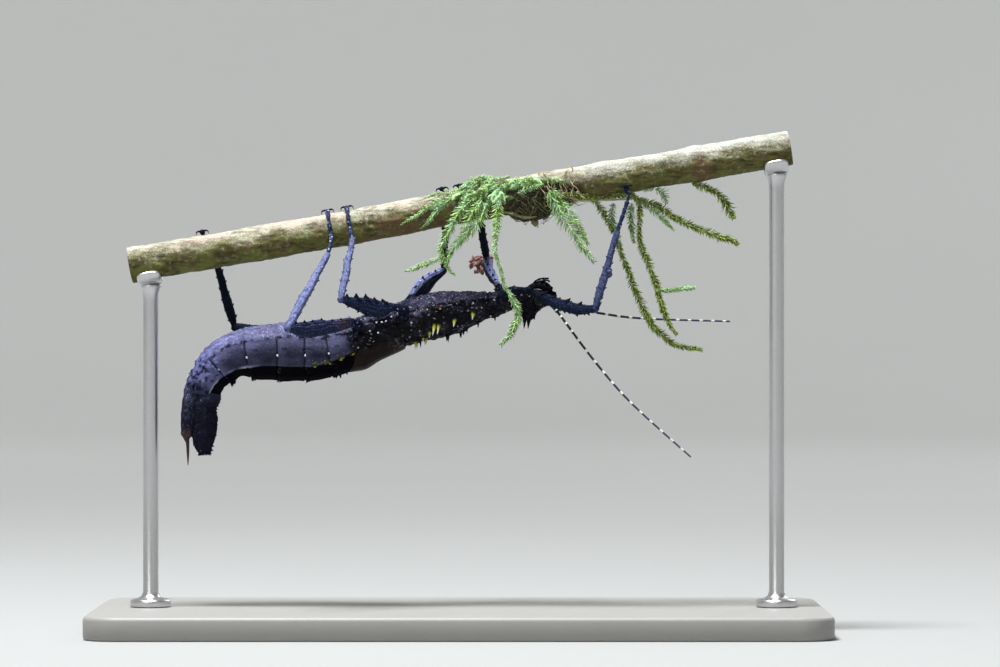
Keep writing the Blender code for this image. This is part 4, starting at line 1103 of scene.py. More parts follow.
def moss_mat(shape):
    """The dark, lumpy mat between the leaves and the bark: partly dark old stems, partly painted shade in the
    gaps between the leaves.
    """
    start, end = MOSS_PAD
    places = np.linspace(start - 3.0, end + 1.0, 90)
    edge = np.sin(np.pi * np.linspace(0.02, 0.98, 60)) ** 0.5
    rings = []
    for x in places:
        angles = np.linspace(-70, 104 - 50 * smooth(np.array(x), 6.5, 9.5), 60)
        part = (x - places[0]) / (places[-1] - places[0])
        swell = 0.58 * max(0.0, math.sin(math.pi * part)) ** 0.6 - 0.12
        base = on_twig(x, angles, 0.0)
        lumps = 0.5 + 0.5 * noise(base, 1.3, 21) + 0.35 * noise(base, 0.5, 22)
        sunk = 0.3 * smooth(np.array(x), 7.6, 9.6) * smooth(-np.abs(angles - 4), -50, -24)
        height = swell * edge * np.clip(lumps, 0.1, 1.4) * (1 - 3.3 * sunk) - sunk
        outer = on_twig(x, angles, knot(x, angles) + height)
        inner = on_twig(x, angles[::-1], knot(x, angles[::-1]) - 0.25)
        rings.append(np.concatenate([outer, inner]))
    shape.skin(np.array(rings), fresh=0.05, stem=0.7)


def on_bark(first, last, lift, bow, count=5):
    """A route over the bark from one (x, angle) to another, which bows out in the middle."""
    part = np.linspace(0, 1, count)
    x = first[0] + (last[0] - first[0]) * part
    angle = first[1] + (last[1] - first[1]) * part
    return on_twig(x, angle, lift + bow * np.sin(np.pi * part) + knot(x, angle) + 0.25 * part)


def moss_pad(shape, rng):
    """The mat on the twig, its main fronds, many small random ones and a few broad leaves."""
    moss_mat(shape)
    for first, last, fresh, leaf in PAD_FRONDS:
        frond(shape, on_bark(first, last, 0.3, 0.35), 0.56 * leaf, "plume", fresh, rng, stem=0.07)
    for _ in range(125):
        x = MOSS_PAD[0] - 3.4 + 13.2 * rng.random() ** 1.15
        crest = x > 6.9
        angle = rng.uniform(-58, 100)
        if x < 1.6:
            angle = rng.uniform(42, 100)
        elif crest:
            angle = rng.uniform(-58, -40) if rng.random() < 0.35 else rng.uniform(48, 74)
        reach = rng.uniform(1.0, 1.9) if crest else rng.uniform(1.4, 3.0)
        turn = rng.uniform(0, 2 * math.pi)
        # The front right foot stands on the top of the twig, to the left of the pad
        leftmost = 2.2 if angle < 48 else -20.0
        drift = (3.5 if crest else 11) * reach * math.sin(turn)
        last = (max(leftmost, x + reach * math.cos(turn)), np.clip(angle + drift, -70, 122))
        lift = rng.uniform(0.1, 0.3) if crest else rng.uniform(0.15, 0.6)
        fresh = rng.uniform(0.15, 1.0)
        leaf = rng.uniform(0.45, 0.7) if crest else rng.uniform(0.55, 1.0)
        frond(shape, on_bark((x, angle), last, lift, 0.25), leaf, "plume", fresh, rng, stem=0.06)
    count = 4
    for x, angle, turn in BROAD_LEAVES:
        root = np.repeat([on_twig(x, angle, 0.9)], count, axis=0)
        flow = math.radians(turn) + 0.4 * rng.normal(size=count)
        ways = np.stack([np.cos(flow), np.full(count, -0.35), np.sin(flow)], axis=1)
        broad = rng.uniform(0.8, 1.15, count)
        ups = np.repeat([NEAR], count, axis=0)
        add_leaves(shape, root, ways, ups, 1.5 * broad, 0.62 * broad, np.full(count, 0.3), np.ones(count))


def moss_fibres(shape, rng):
    """Dry threads over the knot and the bark, the runner to the hanging shoots, a root and a nub."""
    for number in range(110):
        over_knot = number >= 34
        x = rng.uniform(7.5, 19.0) if over_knot else rng.uniform(13.5, 20.0)
        angle = rng.uniform(80, 165) if over_knot else rng.uniform(20, 118)
        reach = rng.uniform(0.8, 2.6) if over_knot else rng.uniform(2.0, 5.5)
        first, last = (x, angle), (x + rng.uniform(-2.2, 2.6), angle + reach * 12)
        route = on_bark(first, last, 0.15, rng.uniform(0.2, 0.7 if over_knot else 0.9), 6)
        route[1:] += rng.normal(size=(5, 3)) * (0.22, 0.14, 0.22)
        points = sampled(route, 26)
        thick = rng.uniform(0.045, 0.09) * (1.2 - np.linspace(0, 1, 26))
        aged = rng.uniform(0.0, 0.22) if over_knot else 1.0
        looks = {"dry": aged, "stem": 0.75 * over_knot, "fresh": 0.1 * over_knot}
        shape.skin(sweep(points, FAR, thick, thick, 6), **looks)
    route = (on_twig(17.0, 112, 0.35), (20.2, -2.4, 73.0), RUNNER_END, (26.3, -1.4, 73.2), RUNNER_FORK)
    runner = sampled(np.array(route), 60)
    thick = 0.16 + 0.05 * noise(runner, 0.8, 31)
    shape.skin(sweep(runner, FAR, thick, thick, 10), dry=0.75, stem=0.3)
    root = sampled(on_bark((6.4, 140), (12.2, 152), 0.1, 0.25, 6), 40)
    thick = 0.24 * (1 + 0.3 * noise(root, 1.1, 32)) * np.sin(np.pi * np.linspace(0.06, 0.97, 40)) ** 0.4
    shape.skin(sweep(root, FAR, thick, thick, 10), dry=0.55, stem=0.2)
    nub = on_bark((11.4, 164), (12.2, 172), -0.2, 0.75, 5)
    lobe(shape, nub, 0.45, 1.0, rough=0.1, dry=0.25, stem=0.6)


def knee_crumbs(shape):
    """Crumbs of dry, reddish moss that cling to the front right knee."""
    rng = np.random.default_rng(23)
    for number in range(60):
        middle = CRUMBS_MIDDLE + np.clip(rng.normal(size=3), -1.7, 1.7) * (1.05, 0.6, 0.75)
        way = unit(rng.normal(size=3))
        path = middle + way * np.linspace(-0.5, 0.5, 9)[:, None] * rng.uniform(0.8, 1.6)
        fat = 0.36 * np.sin(np.pi * np.linspace(0.06, 0.94, 9)) * rng.uniform(0.7, 1.2)
        grid = sweep(path, UP if abs(way[2]) < 0.8 else FRONT, fat, 0.5 * fat, 12)
        shape.skin(puffed(grid, 0.09 * noise(grid, 0.35, number)), rust=1.0)


def build_moss():
    finish = moss_finish()
    rng = np.random.default_rng(11)
    pad = Shape()
    moss_pad(pad, rng)
    pad.build("moss_pad_leaves", finish, "moss", "moss")
    shoots = Shape()
    for root, route, leaf, fresh, kind in MOSS_SHOOTS:
        root = root if len(root) == 3 else on_twig(*root, 0.8)
        frond(shoots, np.array([root, *route]), leaf, kind, fresh, rng)
    shoots.build("moss_shoots", finish, "moss")
    fibres = Shape()
    moss_fibres(fibres, rng)
    fibres.build("moss_fibres", finish, "moss")
    crumbs = Shape()
    knee_crumbs(crumbs)
    crumbs.build("knee_debris", finish, "moss")


# ---------------------------------------------------------------- trunk


FINE_PLACES = np.linspace(0, len(TRUNK) - 1, 1801)
FINE_TRUNK = through(TRUNK, FINE_PLACES)
FINE_LENGTHS = np.concatenate([[0.0], np.cumsum(np.linalg.norm(np.diff(FINE_TRUNK[:, :2], axis=0), axis=1))])


def trunk_at(places):
    """Centre, direction towards the tail, belly direction, half height and half width of the trunk."""
    x, z, high, wide = through(TRUNK, places).T
    before, after = through(TRUNK, places - 0.05), through(TRUNK, places + 0.05)
    level = np.zeros_like(x)
    along = unit(np.stack([after[:, 0] - before[:, 0], level, after[:, 1] - before[:, 1]], axis=1))
    belly = np.stack([along[:, 2], level, -along[:, 0]], axis=1)
    return np.stack([x, level, z], axis=1), along, belly, high, wide


def place_of(x):
    return np.interp(-np.asarray(x, float), -FINE_TRUNK[:, 0], FINE_PLACES)


def reach_of(x):
    """Length along the trunk from the collar to this x."""
    return np.interp(place_of(x), FINE_PLACES, FINE_LENGTHS)


def on_trunk(x, angle, height=0.0):
    """A point on the trunk's skin. The angle, in degrees, runs from the belly towards the far side."""
    places = np.clip(np.atleast_1d(place_of(x)), 0.05, len(TRUNK) - 1.05)
    centre, _, belly, high, wide = (part[0] for part in trunk_at(places))
    turn = math.radians(angle)
    return centre + belly * math.cos(turn) * (high + height) + FAR * math.sin(turn) * (wide + height)


def out_of_trunk(x, angle):
    return unit(on_trunk(x, angle, 1.0) - on_trunk(x, angle, 0.0))


def body_skin(shape):
    """The seamless skin of the thorax and the abdomen, with its relief and its looks."""
    lengths = np.linspace(0.01, FINE_LENGTHS[-1] - 0.01, 370)
    angles = np.linspace(0, 360, 168, endpoint=False)
    centre, _, belly, high, wide = trunk_at(np.interp(lengths, FINE_LENGTHS, FINE_PLACES))
    length_of, angle = np.meshgrid(lengths, angles, indexing="ij")
    fold = np.minimum(angle, 360 - angle)
    turn = np.radians(angle)

    # Regions
    abdomen = smooth(length_of, reach_of(-17.6), reach_of(-19.4))
    thorax = 1 - abdomen
    hind = smooth(length_of, reach_of(-33.0), reach_of(-37.0))
    rear = smooth(length_of, reach_of(-39.5), reach_of(-42.0))
    flank = smooth(fold, 54, 66)
    upside = 1 - smooth(fold, 48, 76)

    # Plain rings
    back = smooth(fold, 112, 140) * abdomen
    swell_up = 1 - 0.02 * back
    swell_side = (1 - 0.07 * back) * (1 - 0.06 * np.cos(turn) * thorax)
    up = belly[:, None] * (np.cos(turn) * high[:, None] * swell_up)[..., None]
    out = FAR * (np.sin(turn) * wide[:, None] * swell_side)[..., None]
    grid = centre[:, None] + up + out

    # Segments, and the lines that run along the body
    edges = np.array([reach_of(x) for x in ABDOMEN_EDGES] + [FINE_LENGTHS[-1] + 1.0])
    number = np.clip(np.searchsorted(edges, length_of) - 1, 0, len(edges) - 2)
    part = np.clip((length_of - edges[number]) / (edges[number + 1] - edges[number]), 0, 1)
    wave = 0.1 * noise(grid, 1.6, 41)
    gap = np.min([np.abs(length_of - edge + wave) for edge in edges[:-1]], axis=0)
    thorax_gap = np.min([np.abs(length_of - reach_of(x) + wave) for x in THORAX_EDGES], axis=0)
    line = 64 - 4 * abdomen + 2.5 * noise(grid, 1.1, 42)
    raised_lip = 9 * (1 - smooth(length_of, reach_of(-18.5), reach_of(-26.0)))
    lip = 119 + 2.0 * noise(grid, 2.0, 43) - raised_lip
    dashes = smooth(noise(grid * (1, 0, 1), 0.55, 44), -0.25, 0.25)

    # Relief of the plates
    crease = sizes().crease / MM
    seam = peak(gap, 0, 0.13) * abdomen * (0.3 + 0.7 * flank)
    lift = abdomen * (0.1 + 0.12 * smooth(fold, 125, 140)) * (part - 0.55)
    lift -= crease * (seam + peak(thorax_gap, 0, 0.25))
    lift += 0.06 * peak(gap, 0.42, 0.22) * abdomen
    lift -= 0.85 * peak(length_of, reach_of(-38.4), 2.6) * smooth(fold, 118, 150)
    lift += 0.3 * abdomen * (1 - rear) * peak(fold, 147, 12)
    lift -= 0.85 * smooth(length_of, FINE_LENGTHS[-1] - 1.3, FINE_LENGTHS[-1]) ** 2
    lift += 0.1 * thorax * (dashes + 0.3) * peak(fold, line, 3.0)
    lift -= 0.07 * thorax * dashes * peak(fold, line + 1, 2.6)
    lift += 0.16 * abdomen * peak(fold, 44, 16)
    under_lip = 0.16 * smooth(fold, lip + 2, lip + 8) * (1 - smooth(fold, 150, 172))
    lift += abdomen * (1 - 0.6 * rear) * ((0.16 + 0.18 * hind) * peak(fold, lip, 4.2) - under_lip)
    lift += 0.14 * thorax * peak(fold, 90, 7) * (0.5 + 0.5 * dashes)
    lift += 0.2 * peak(fold, 180, 5)

    # Granules, clumps and wrinkles
    grain = sizes().granule / MM
    bumps = granules(grid, 0.78, 45)
    coarse = granules(grid, 1.15, 46)
    clumps = peak(part, 0.93, 0.1) * smooth(coarse, 0.45, 0.75) * peak(fold, 140, 16)
    belly_grain = 0.75 * abdomen * (0.35 + 0.65 * upside) * (1 - smooth(fold, lip - 3, lip))
    lift += grain * bumps * (1.2 * thorax + belly_grain + 0.9 * rear)
    lift += 1.8 * grain * coarse * (thorax * smooth(fold, 60, 80) + 0.95 * rear)
    lift += 3.2 * grain * clumps * abdomen
    lift += abdomen * (0.1 * upside * noise(grid, 0.55, 58) + 0.13 * rear * noise(grid, 0.7, 59))
    lift += 0.14 * thorax * noise(grid, 0.9, 51) * smooth(fold, 55, 75)
    lift += 0.05 * noise(grid * (0.4, 1, 1), 0.7, 47) * abdomen + 0.09 * noise(grid, 1.4, 48)
    lift += 0.05 * thorax * noise(grid * (1, 0.4, 0.4), 0.5, 49)
    folds = peak(length_of, reach_of(-17.2), 2.0) + peak(length_of, reach_of(-11.5), 1.4)
    lift += 0.16 * folds * noise(grid * (1.4, 0.5, 0.5), 0.8, 50)
    grid = puffed(grid, lift)

    # How light the skin is: a dusty belly, a dark band along the thorax and a black back, with painted light
    # and shade in places
    band = smooth(fold, line - 8, line + 7)
    below = smooth(fold, lip - 1, lip + 3)
    # Painted glints: lighter patches in the thorax's dark band
    glints = 0.3 * smooth(noise(grid, 1.3, 52), 0.05, 0.45)
    first = peak(length_of, reach_of(-20.4), 1.9) * smooth(-fold, -104, -92)
    # Painted light: the abdomen's flank is lighter towards the top, where light from above falls
    middle = 0.2 + 0.2 * smooth(-fold, -96, -66) + 0.1 * noise(grid * (0.5, 1, 1), 0.9, 56)
    middle = middle + 0.05 * peak(fold, 108, 7) + 0.12 * peak(part, 0.85, 0.2)
    ground = 1.08 + 0.44 * noise(grid * (0.6, 1, 1), 1.0, 53) + 0.22 * hind + 0.2 * rear
    # Painted shade: the belly is darker between its grains
    ground = ground * (0.7 + 0.3 * smooth(bumps, 0.1, 0.5))
    thoracic = 0.24 - (0.23 - 0.35 * glints) * band
    dust = np.zeros_like(fold)
    for x, place, wide_x, wide_fold, amount in DUST_PATCHES:
        spot = peak(length_of, reach_of(x), wide_x) * peak(fold, place, wide_fold)
        spot = spot * smooth(noise(grid, 0.9, 60), -0.4, 0.2)
        dust = dust + spot
        thoracic = thoracic + amount * spot
    ventral = (1 - band) * ground + band * (middle + 0.45 * rear + 0.3 * first)
    # Under the lip, which faces down, the abdomen is nearly black: partly its own colour, partly painted
    # shade
    tone = thorax * thoracic + abdomen * ventral * (1 - 0.99 * below)
    tone = tone * (1 - 0.7 * peak(length_of, reach_of(-15.0), 3.2) * smooth(fold, 50, 75))
    jagged = length_of + 0.5 * noise(grid, 1.0, 61)
    tone = tone * (1 - 0.72 * smooth(jagged, FINE_LENGTHS[-1] - 2.6, FINE_LENGTHS[-1] - 0.7))

    # Dark dashes, seams and blots, and painted shade between the thorax's grains, then pale lips with a
    # painted highlight, dust and painted glints
    dark = 2.2 * dashes * peak(fold, line + 1, 3.2) + peak(thorax_gap, 0, 0.2)
    dark += 1.5 * peak(gap, 0, 0.11) * abdomen * flank
    upper_dashes = smooth(noise(grid * (1, 0, 1), 0.8, 54), 0.0, 0.35) * peak(fold, 85, 2.6)
    dark += 0.8 * abdomen * (1 - rear) * upper_dashes
    dark += 0.85 * rear * smooth(noise(grid, 0.5, 57), 0.22, 0.45) * (1 - below)
    dark += 0.35 * abdomen * upside * smooth(noise(grid, 0.45, 62), 0.35, 0.6)
    belly_dashes = smooth(noise(grid * (1, 0, 1), 0.9, 63), -0.2, 0.2) * peak(fold, 29, 2.4)
    dark += 0.8 * abdomen * (1 - rear) * belly_dashes
    dark += 0.3 * hind * upside * smooth(noise(grid, 0.8, 64), 0.05, 0.4) * (1 - below)
    # Painted shade: dark between the grains of the thorax's band
    dark += 0.7 * smooth(-bumps, -0.25, 0.0) * thorax * band * (1 - np.clip(dust, 0, 1))
    # The pale rim along the lip: partly its own colour, partly a painted highlight
    pale = 0.7 * abdomen * peak(fold, lip, 1.9) * (0.08 + 0.92 * hind)
    pale = pale * smooth(noise(grid, 1.8, 55), -0.6, 0.0)
    pale += thorax * smooth(bumps, 0.55, 0.8) * (0.45 - 0.44 * band) + 0.14 * abdomen * clumps
    # Painted glints: tiny pale specks on the thorax's band
    painted_glints = smooth(granules(grid, 0.62, 65), 0.62, 0.78) * smooth(noise(grid, 1.7, 66), 0.1, 0.45)
    pale += 0.75 * thorax * band * painted_glints
    shape.skin(
        grid,
        tone=tone,
        dark=np.clip(dark, 0, 1),
        pale=np.clip(pale, 0, 1),
        gloss=smooth(fold, 56, 80) * thorax + 0.1 * below * abdomen,
        mottle=0.2 + 0.8 * thorax + 0.16 * abdomen * upside,
        slick=np.clip(abdomen * below * (1 - clumps) + 0.6 * thorax * band, 0, 1),
        blue=0.55 * abdomen * np.clip(rear + 0.3 * hind, 0, 1),
    )


def trunk_spine(shape, x, angle, depth, long, radius, lean=(0, 0, 0), **looks):
    """A spine whose foot lies this deep in the trunk's skin."""
    shape.spine(on_trunk(x, angle, -depth), out_of_trunk(x, angle) + lean, long, radius, **looks)


def flank_plates(shape):
    """Wrinkled plates between the hips, with a few knobs on them that are painted pale as their glints."""
    for side in (-1, 1):
        for route, radius, flat, tone, pale in HIP_PLATES:
            looks = {"tone": 0.65 * tone, "pale": pale, "mottle": 1.0, "gloss": 0.5}
            lobe(shape, np.array(route) * (1, side, 1), radius, flat, 26, 34, 0.1, **looks)
        for x, y, z, tall in PLATE_KNOBS:
            # Painted highlight: the knobs are pale as their glints
            shape.spine((x, side * (y - 0.14), z), (0, side, -0.5), tall, 0.12, sides=8, pale=0.8)


def body_spines(shape):
    """The named spines of the thorax, then small random ones, growths, dots and the clumps of the back."""
    rng = np.random.default_rng(5)
    for x, angle, long, radius, kind in SPINES:
        for side in (-1, 1):
            shift = 0.0 if side < 0 else rng.normal() * 0.25
            hanging = kind == "cream" and long > 0.8
            root = on_trunk(x + shift, side * angle, -0.05)
            way = out_of_trunk(x, side * angle) + (-0.1, 0, -0.55 if hanging else -0.35)
            cream, rust = {"cream": (0.95, 0.0), "rust": (0.0, 0.9), "dark": (0.0, 0.0)}[kind]
            size = (1.25 if kind == "dark" else 0.84) * long * (1.0 if side < 0 else rng.uniform(0.85, 1.1))
            bend = (-0.16, 0, -0.42) if hanging else (-0.08, 0, -0.1)
            foot = radius * (1.25 if hanging else 1.05)
            shape.spine(root, way, size, foot, bend, cream=cream, rust=rust, tone=0.05)
    for _ in range(130):
        x = rng.uniform(-10.0, 8.0)
        angle = rng.choice((-1, 1)) * rng.choice((rng.normal(82, 6), rng.normal(150, 16)))
        long = rng.uniform(0.14, 0.36)
        kind = rng.random()
        # Some small spines are pale: partly their own colour, partly painted glints
        looks = {"cream": 0.6 * (kind < 0.1), "pale": 0.7 * (kind > 0.84), "tone": 0.05}
        trunk_spine(shape, x, angle, 0.02, long, long * 0.5, sides=7, **looks)
    for x, angle in GROWTHS:
        for side in (-1, 1):
            for _ in range(5):
                where, turn = x + rng.normal() * 0.36, side * (angle + rng.normal() * 4.0)
                long = rng.uniform(0.12, 0.28)
                looks = {"green": rng.uniform(0.3, 1.0), "tone": 0.05}
                trunk_spine(shape, where, turn, 0.02, long, long * 1.05, sides=6, **looks)
    for x in ABDOMEN_EDGES:
        for side in (-1, 1):
            root, way = on_trunk(x + 0.15, side * 98, -0.02), out_of_trunk(x, side * 98)
            shape.spine(root, way, 0.2, 0.15, sides=10, pale=1.0)
    for x in ABDOMEN_EDGES[1:]:
        for angle in (166, 173, 181, 188, 195, 157, 203):
            where, long = x + 0.5 + rng.normal() * 0.25, rng.uniform(0.45, 0.85)
            trunk_spine(shape, where, angle, 0.1, long, 0.19, (-0.55, 0, 0), sides=8, tone=0.05)
        for angle in (-124, -136, -147, 124, 136, 147):
            where, long = x + 0.45 + rng.normal() * 0.2, rng.uniform(0.25, 0.5)
            trunk_spine(shape, where, angle, 0.08, long, 0.14, (-0.5, 0, 0), sides=7, tone=0.05)
    for side in (-1, 1):
        for x, angle in BACK_SPINES:
            trunk_spine(shape, x, side * angle, 0.1, 0.95, 0.24, tone=0.05)
        for x, angle, long in REAR_SPINES:
            trunk_spine(shape, x, side * angle, 0.05, long, 0.16, sides=8, tone=0.3)


def build_body():
    shape = Shape()
    body_skin(shape)
    flank_plates(shape)
    body_spines(shape)
    shape.build("body_skin", shared("insect_skin", skin_finish), "shell", *FLESH)


def upright_rings(stations, rings, sides):
    """Rings down a hanging part, each point's angle from the rear, and the smoothed stations."""
    stations = in_middle(stations, rings)
    grid = sweep(stations[:, :3], -FRONT, stations[:, 3], stations[:, 4], sides)
    angle = np.degrees(2 * np.pi * np.arange(sides) / sides)
    return grid, np.minimum(angle, 360 - angle), stations


def build_tail():
    """The last back plates, with a saw-like front edge and small spines."""
    rng = np.random.default_rng(8)
    grid, fold, stations = upright_rings(TAIL, 130, 96)
    height = grid[..., 2]
    gap = np.min([np.abs(height - joint - 0.25 * noise(grid, 1.5, 61)) for joint in TAIL_JOINTS], axis=0)
    saw = np.mod(TAIL_JOINTS[0] - height, 2.6) / 2.6
    lift = 0.1 * (saw - 0.5) - 0.05 * peak(gap, 0, 0.16)
    lift += 0.16 * granules(grid, 0.8, 62) + 0.16 * noise(grid, 1.2, 63)
    lift += 0.22 * peak(fold, 180, 9) + 0.16 * peak(fold, 104, 7)
    grid = puffed(grid, lift)
    shape = Shape()
    shape.skin(
        grid,
        tone=0.045 + 0.12 * smooth(height, 38.0, 41.0),
        dark=0.3 * peak(gap, 0, 0.15),
        pale=0.55 * smooth(granules(grid, 2.4, 64), 0.88, 0.94),
        mottle=0.3,
        gloss=0.2,
        blue=0.5,
    )
    for z in np.linspace(39.0, 30.2, 15):
        near = stations[np.argmin(np.abs(stations[:, 2] - z))]
        for side in (-1, 0, 1):
            root = near[:3] + (near[3] * (0.93 if side else 1.0), 0.3 * side * near[4], 0)
            long = rng.uniform(0.32, 0.6) * (0.8 if side else 1.0)
            shape.spine(root, (1.0, 0.3 * side, -0.7), long, 0.19, sides=8, tone=0.06)
    near = stations[-4]
    for turn in np.linspace(0, 2 * math.pi, 16, endpoint=False):
        root = near[:3] + (math.cos(turn) * near[3] * 0.85, math.sin(turn) * near[4] * 0.9, 0.1)
        way = (0.5 * math.cos(turn), 0.4 * math.sin(turn), -1.2)
        shape.spine(root, way, rng.uniform(0.4, 0.8), 0.2, sides=8, tone=0.05)
    for _ in range(60):
        near = stations[rng.integers(8, 120)]
        turn = rng.uniform(0, 2 * math.pi)
        root = near[:3] + (-math.cos(turn) * near[3], math.sin(turn) * near[4], 0)
        long = rng.uniform(0.15, 0.32)
        shape.spine(root, (-math.cos(turn), math.sin(turn), -0.2), long, long * 0.55, sides=7, tone=0.15)
    shape.build("tail_plates", shared("insect_skin", skin_finish), "shell", "tail")


def build_scoop():
    """The egg scoop behind the tail, which ends in a long, reddish spike."""
    grid, _, _ = upright_rings(SCOOP, 120, 64)
    height = grid[..., 2]
    body = smooth(height, 32.0, 33.5)
    lift = 0.07 * granules(grid, 0.7, 65) + 0.1 * noise(grid, 1.0, 66)
    lift = body * (lift + 0.08 * noise(grid * (1, 1, 0.3), 0.5, 67))
    lift += 0.26 * peak(height, 33.4, 0.5) * peak(grid[..., 1], 0, 1.2)
    grid = puffed(grid, lift)
    spike = 1 - smooth(height, 31.5, 34.5)
    patchy_marks = peak(height, 33.5, 0.6) * smooth(granules(grid, 0.8, 68), 0.3, 0.7)
    shape = Shape()
    shape.skin(
        grid,
        tone=0.04 + 0.07 * body + 0.22 * smooth(height, 38.0, 41.0),
        rust=0.08 * spike + 0.06 * peak(height, 33.4, 0.8),
        pale=0.05 * spike + 0.12 * patchy_marks,
        mottle=0.9,
        blue=0.3,
    )
    shape.build("egg_scoop_shell", shared("insect_skin", skin_finish), "shell", "egg_scoop")


def build_wings():
    """Two small, leathery fore wings with raised veins, which lie on the back."""
    finish = wing_finish()
    steps, across = 64, 44
    inner, spine_line = 122, 177
    for name, side in (("wing_left", -1), ("wing_right", 1)):
        rings, veins, root = [], [], []
        for part in np.linspace(0, 1, steps):
            edge = inner - 12 * part + 80 * max(0.0, part - 0.75) ** 2
            lift = 0.28 + 0.14 * math.sin(math.pi * part) + 0.45 * peak(part, 0.74, 0.18)
            lift = lift * (1 - max(0.0, (part - 0.78) / 0.22) ** 2)
            closing = math.sqrt(max(0.02, 1 - part**5)) * math.sqrt(max(0.05, 1 - (1 - part) ** 16))
            low, high, vein = [], [], []
            for out in np.linspace(0, 1, across):
                x = WING_START + (WING_REAR[0] + (WING_REAR[1] - WING_REAR[0]) * out - WING_START) * part
                angle = side * (spine_line + (edge - spine_line) * out)
                rim = math.sqrt(max(0.03, 1 - (2 * out - 1) ** 4)) * closing
                spread = math.sin(out * 17 + 1.2 * part + 0.5 * math.sin(part * 7)) ** 10
                thick = WING_THICKNESS * rim * (0.82 + 0.3 * math.sin(math.pi * out)) + 0.035 * spread * rim
                base = lift * (1 - out**3) - 0.12 * out**6 + 0.3 * WING_THICKNESS * (1 - rim) * (1 - out)
                low.append(on_trunk(x, angle, base))
                high.append(on_trunk(x, angle, base + thick))
                vein.append(spread)
            rings.append(np.array(low + high[::-1]))
            veins.append(vein + vein[::-1])
            root.append(1 - smooth(np.array(part), 0.05, 0.38))
        shape = Shape()
        shape.skin(np.array(rings), keel=np.array(veins), pale=np.array(root))
        shape.build(name + "_leather", finish, "wing", name)


# ---------------------------------------------------------------- head


def build_head():
    """The head with its brow, cheeks, eye sockets, spines and fine cones."""
    rows, sides = 150, 120
    stations = in_middle(HEAD, rows)
    turn = 2 * np.pi * np.arange(sides) / sides
    wide = np.sin(turn) * stations[:, 4:5] * (1 + 0.16 * np.cos(turn))
    grid = stations[:, None, :3] + UP * (np.cos(turn) * stations[:, 3:4])[..., None] + FAR * wide[..., None]
    mirrored = np.abs(grid * (0, 1, 0)) + grid * (1, 0, 1)

    def bulge(middle, radius, height):
        distance = np.linalg.norm(mirrored - np.array(middle), axis=-1)
        return height * np.exp(-((distance / radius) ** 2))

    socket = np.linalg.norm((mirrored - np.array(EYE)) * (1, 0.5, 1), axis=-1)
    lift = bulge((10.3, 2.1, 56.5), 1.0, 0.32) - bulge((10.6, 2.2, 57.7), 0.45, 0.2)
    lift += 0.17 * peak(socket, 1.0, 0.18) - 0.45 * smooth(-socket, -0.85, -0.35)
    lift += bulge((11.6, 0.9, 53.2), 0.7, 0.3) + bulge((14.9, 1.7, 56.2), 0.5, 0.22)
    lift += 0.07 * granules(grid, 0.6, 71) + 0.06 * noise(grid, 0.8, 72)
    lift += 0.1 * peak(mirrored[..., 1], 0.0, 0.2)
    brow = peak(mirrored[..., 0] + 0.5 * (mirrored[..., 2] - 57), 12.4, 0.14)
    lift -= 0.12 * brow * smooth(mirrored[..., 2], 56.2, 57.0)
    rust = bulge((10.2, 2.3, 56.2), 0.35, 0.05)
    grid = puffed(grid, lift)
    shape = Shape()
    shape.skin(grid, tone=0.01, rust=rust, gloss=0.6, mottle=1.0, slick=0.8)
    for root, way, long, radius in HEAD_SPINES:
        for side in (-1, 1):
            mirror = (1, side, 1)
            foot, lean = np.array(root) * mirror, np.array(way) * mirror
            shape.spine(foot, lean, long, radius, (-0.04, 0, 0), tone=0.03)
    for side in (-1, 1):
        shape.spine((10.45, 1.72 * side, 54.6), (0, side, -0.3), 0.16, 0.11, sides=8, pale=0.2)
    rng = np.random.default_rng(3)
    for _ in range(40):
        row, column = rng.integers(20, 120), rng.integers(0, sides)
        way = unit(grid[row, column] - stations[row, :3])
        long = rng.uniform(0.12, 0.28)
        shape.spine(grid[row, column], way, long, long * 0.55, sides=7, tone=0.01)
    shape.build("head_skin", shared("insect_skin", skin_finish), "shell", "head")


def build_eyes():
    finish = eye_finish()
    latitude = np.linspace(0.02, math.pi - 0.02, 60)
    longitude = np.linspace(0, 2 * math.pi, 72, endpoint=False)
    low, long = np.meshgrid(latitude, longitude, indexing="ij")
    rim = peak(np.degrees(low), 62, 9) + peak(np.degrees(low), 118, 9)
    for name, side in (("eye_left", -1), ("eye_right", 1)):
        across, outwards, upwards = np.sin(low) * np.cos(long), side * np.cos(low), np.sin(low) * np.sin(long)
        ball = np.stack([across, outwards * EYE_DEPTH, upwards], axis=-1)
        shape = Shape()
        shape.skin(np.array(EYE) * (1, side, 1) + ball * EYE_RADIUS, pale=0.7 * rim)
        shape.build(name + "_facets", finish, "eye", name)


def lobe(shape, route, fat, flat, sides=20, count=30, rough=0.02, **values):
    """A soft lobe along a route, round at both ends."""
    points = sampled(np.array(route, float), count)
    part = np.linspace(0, 1, count)
    swell = fat * np.sqrt(np.clip(np.sin(np.pi * np.clip(part, 0.015, 0.985)), 0, 1))
    grid = sweep(points, UP, swell, swell * flat, sides)
    shape.skin(puffed(grid, rough * (noise(grid, 0.3, 81) + granules(grid, 0.5, 83))), **values)


def segmented(shape, route, radius, joints, **values):
    """A palp or a similar jointed feeler, whose segments widen towards their ends."""
    count = 18 * joints
    points = sampled(np.array(route, float), count)
    part = np.linspace(0, joints, count)
    within = part - np.floor(np.clip(part, 0, joints - 1e-6))
    size = radius * (0.68 + 0.42 * within**0.8) * np.sqrt(np.clip(1 - (within - 0.12) ** 12, 0.2, 1))
    size = size * (1 - 0.25 * np.linspace(0, 1, count))
    size[-1] *= 0.3
    shape.skin(sweep(points, UP, size, size, 14), **values)


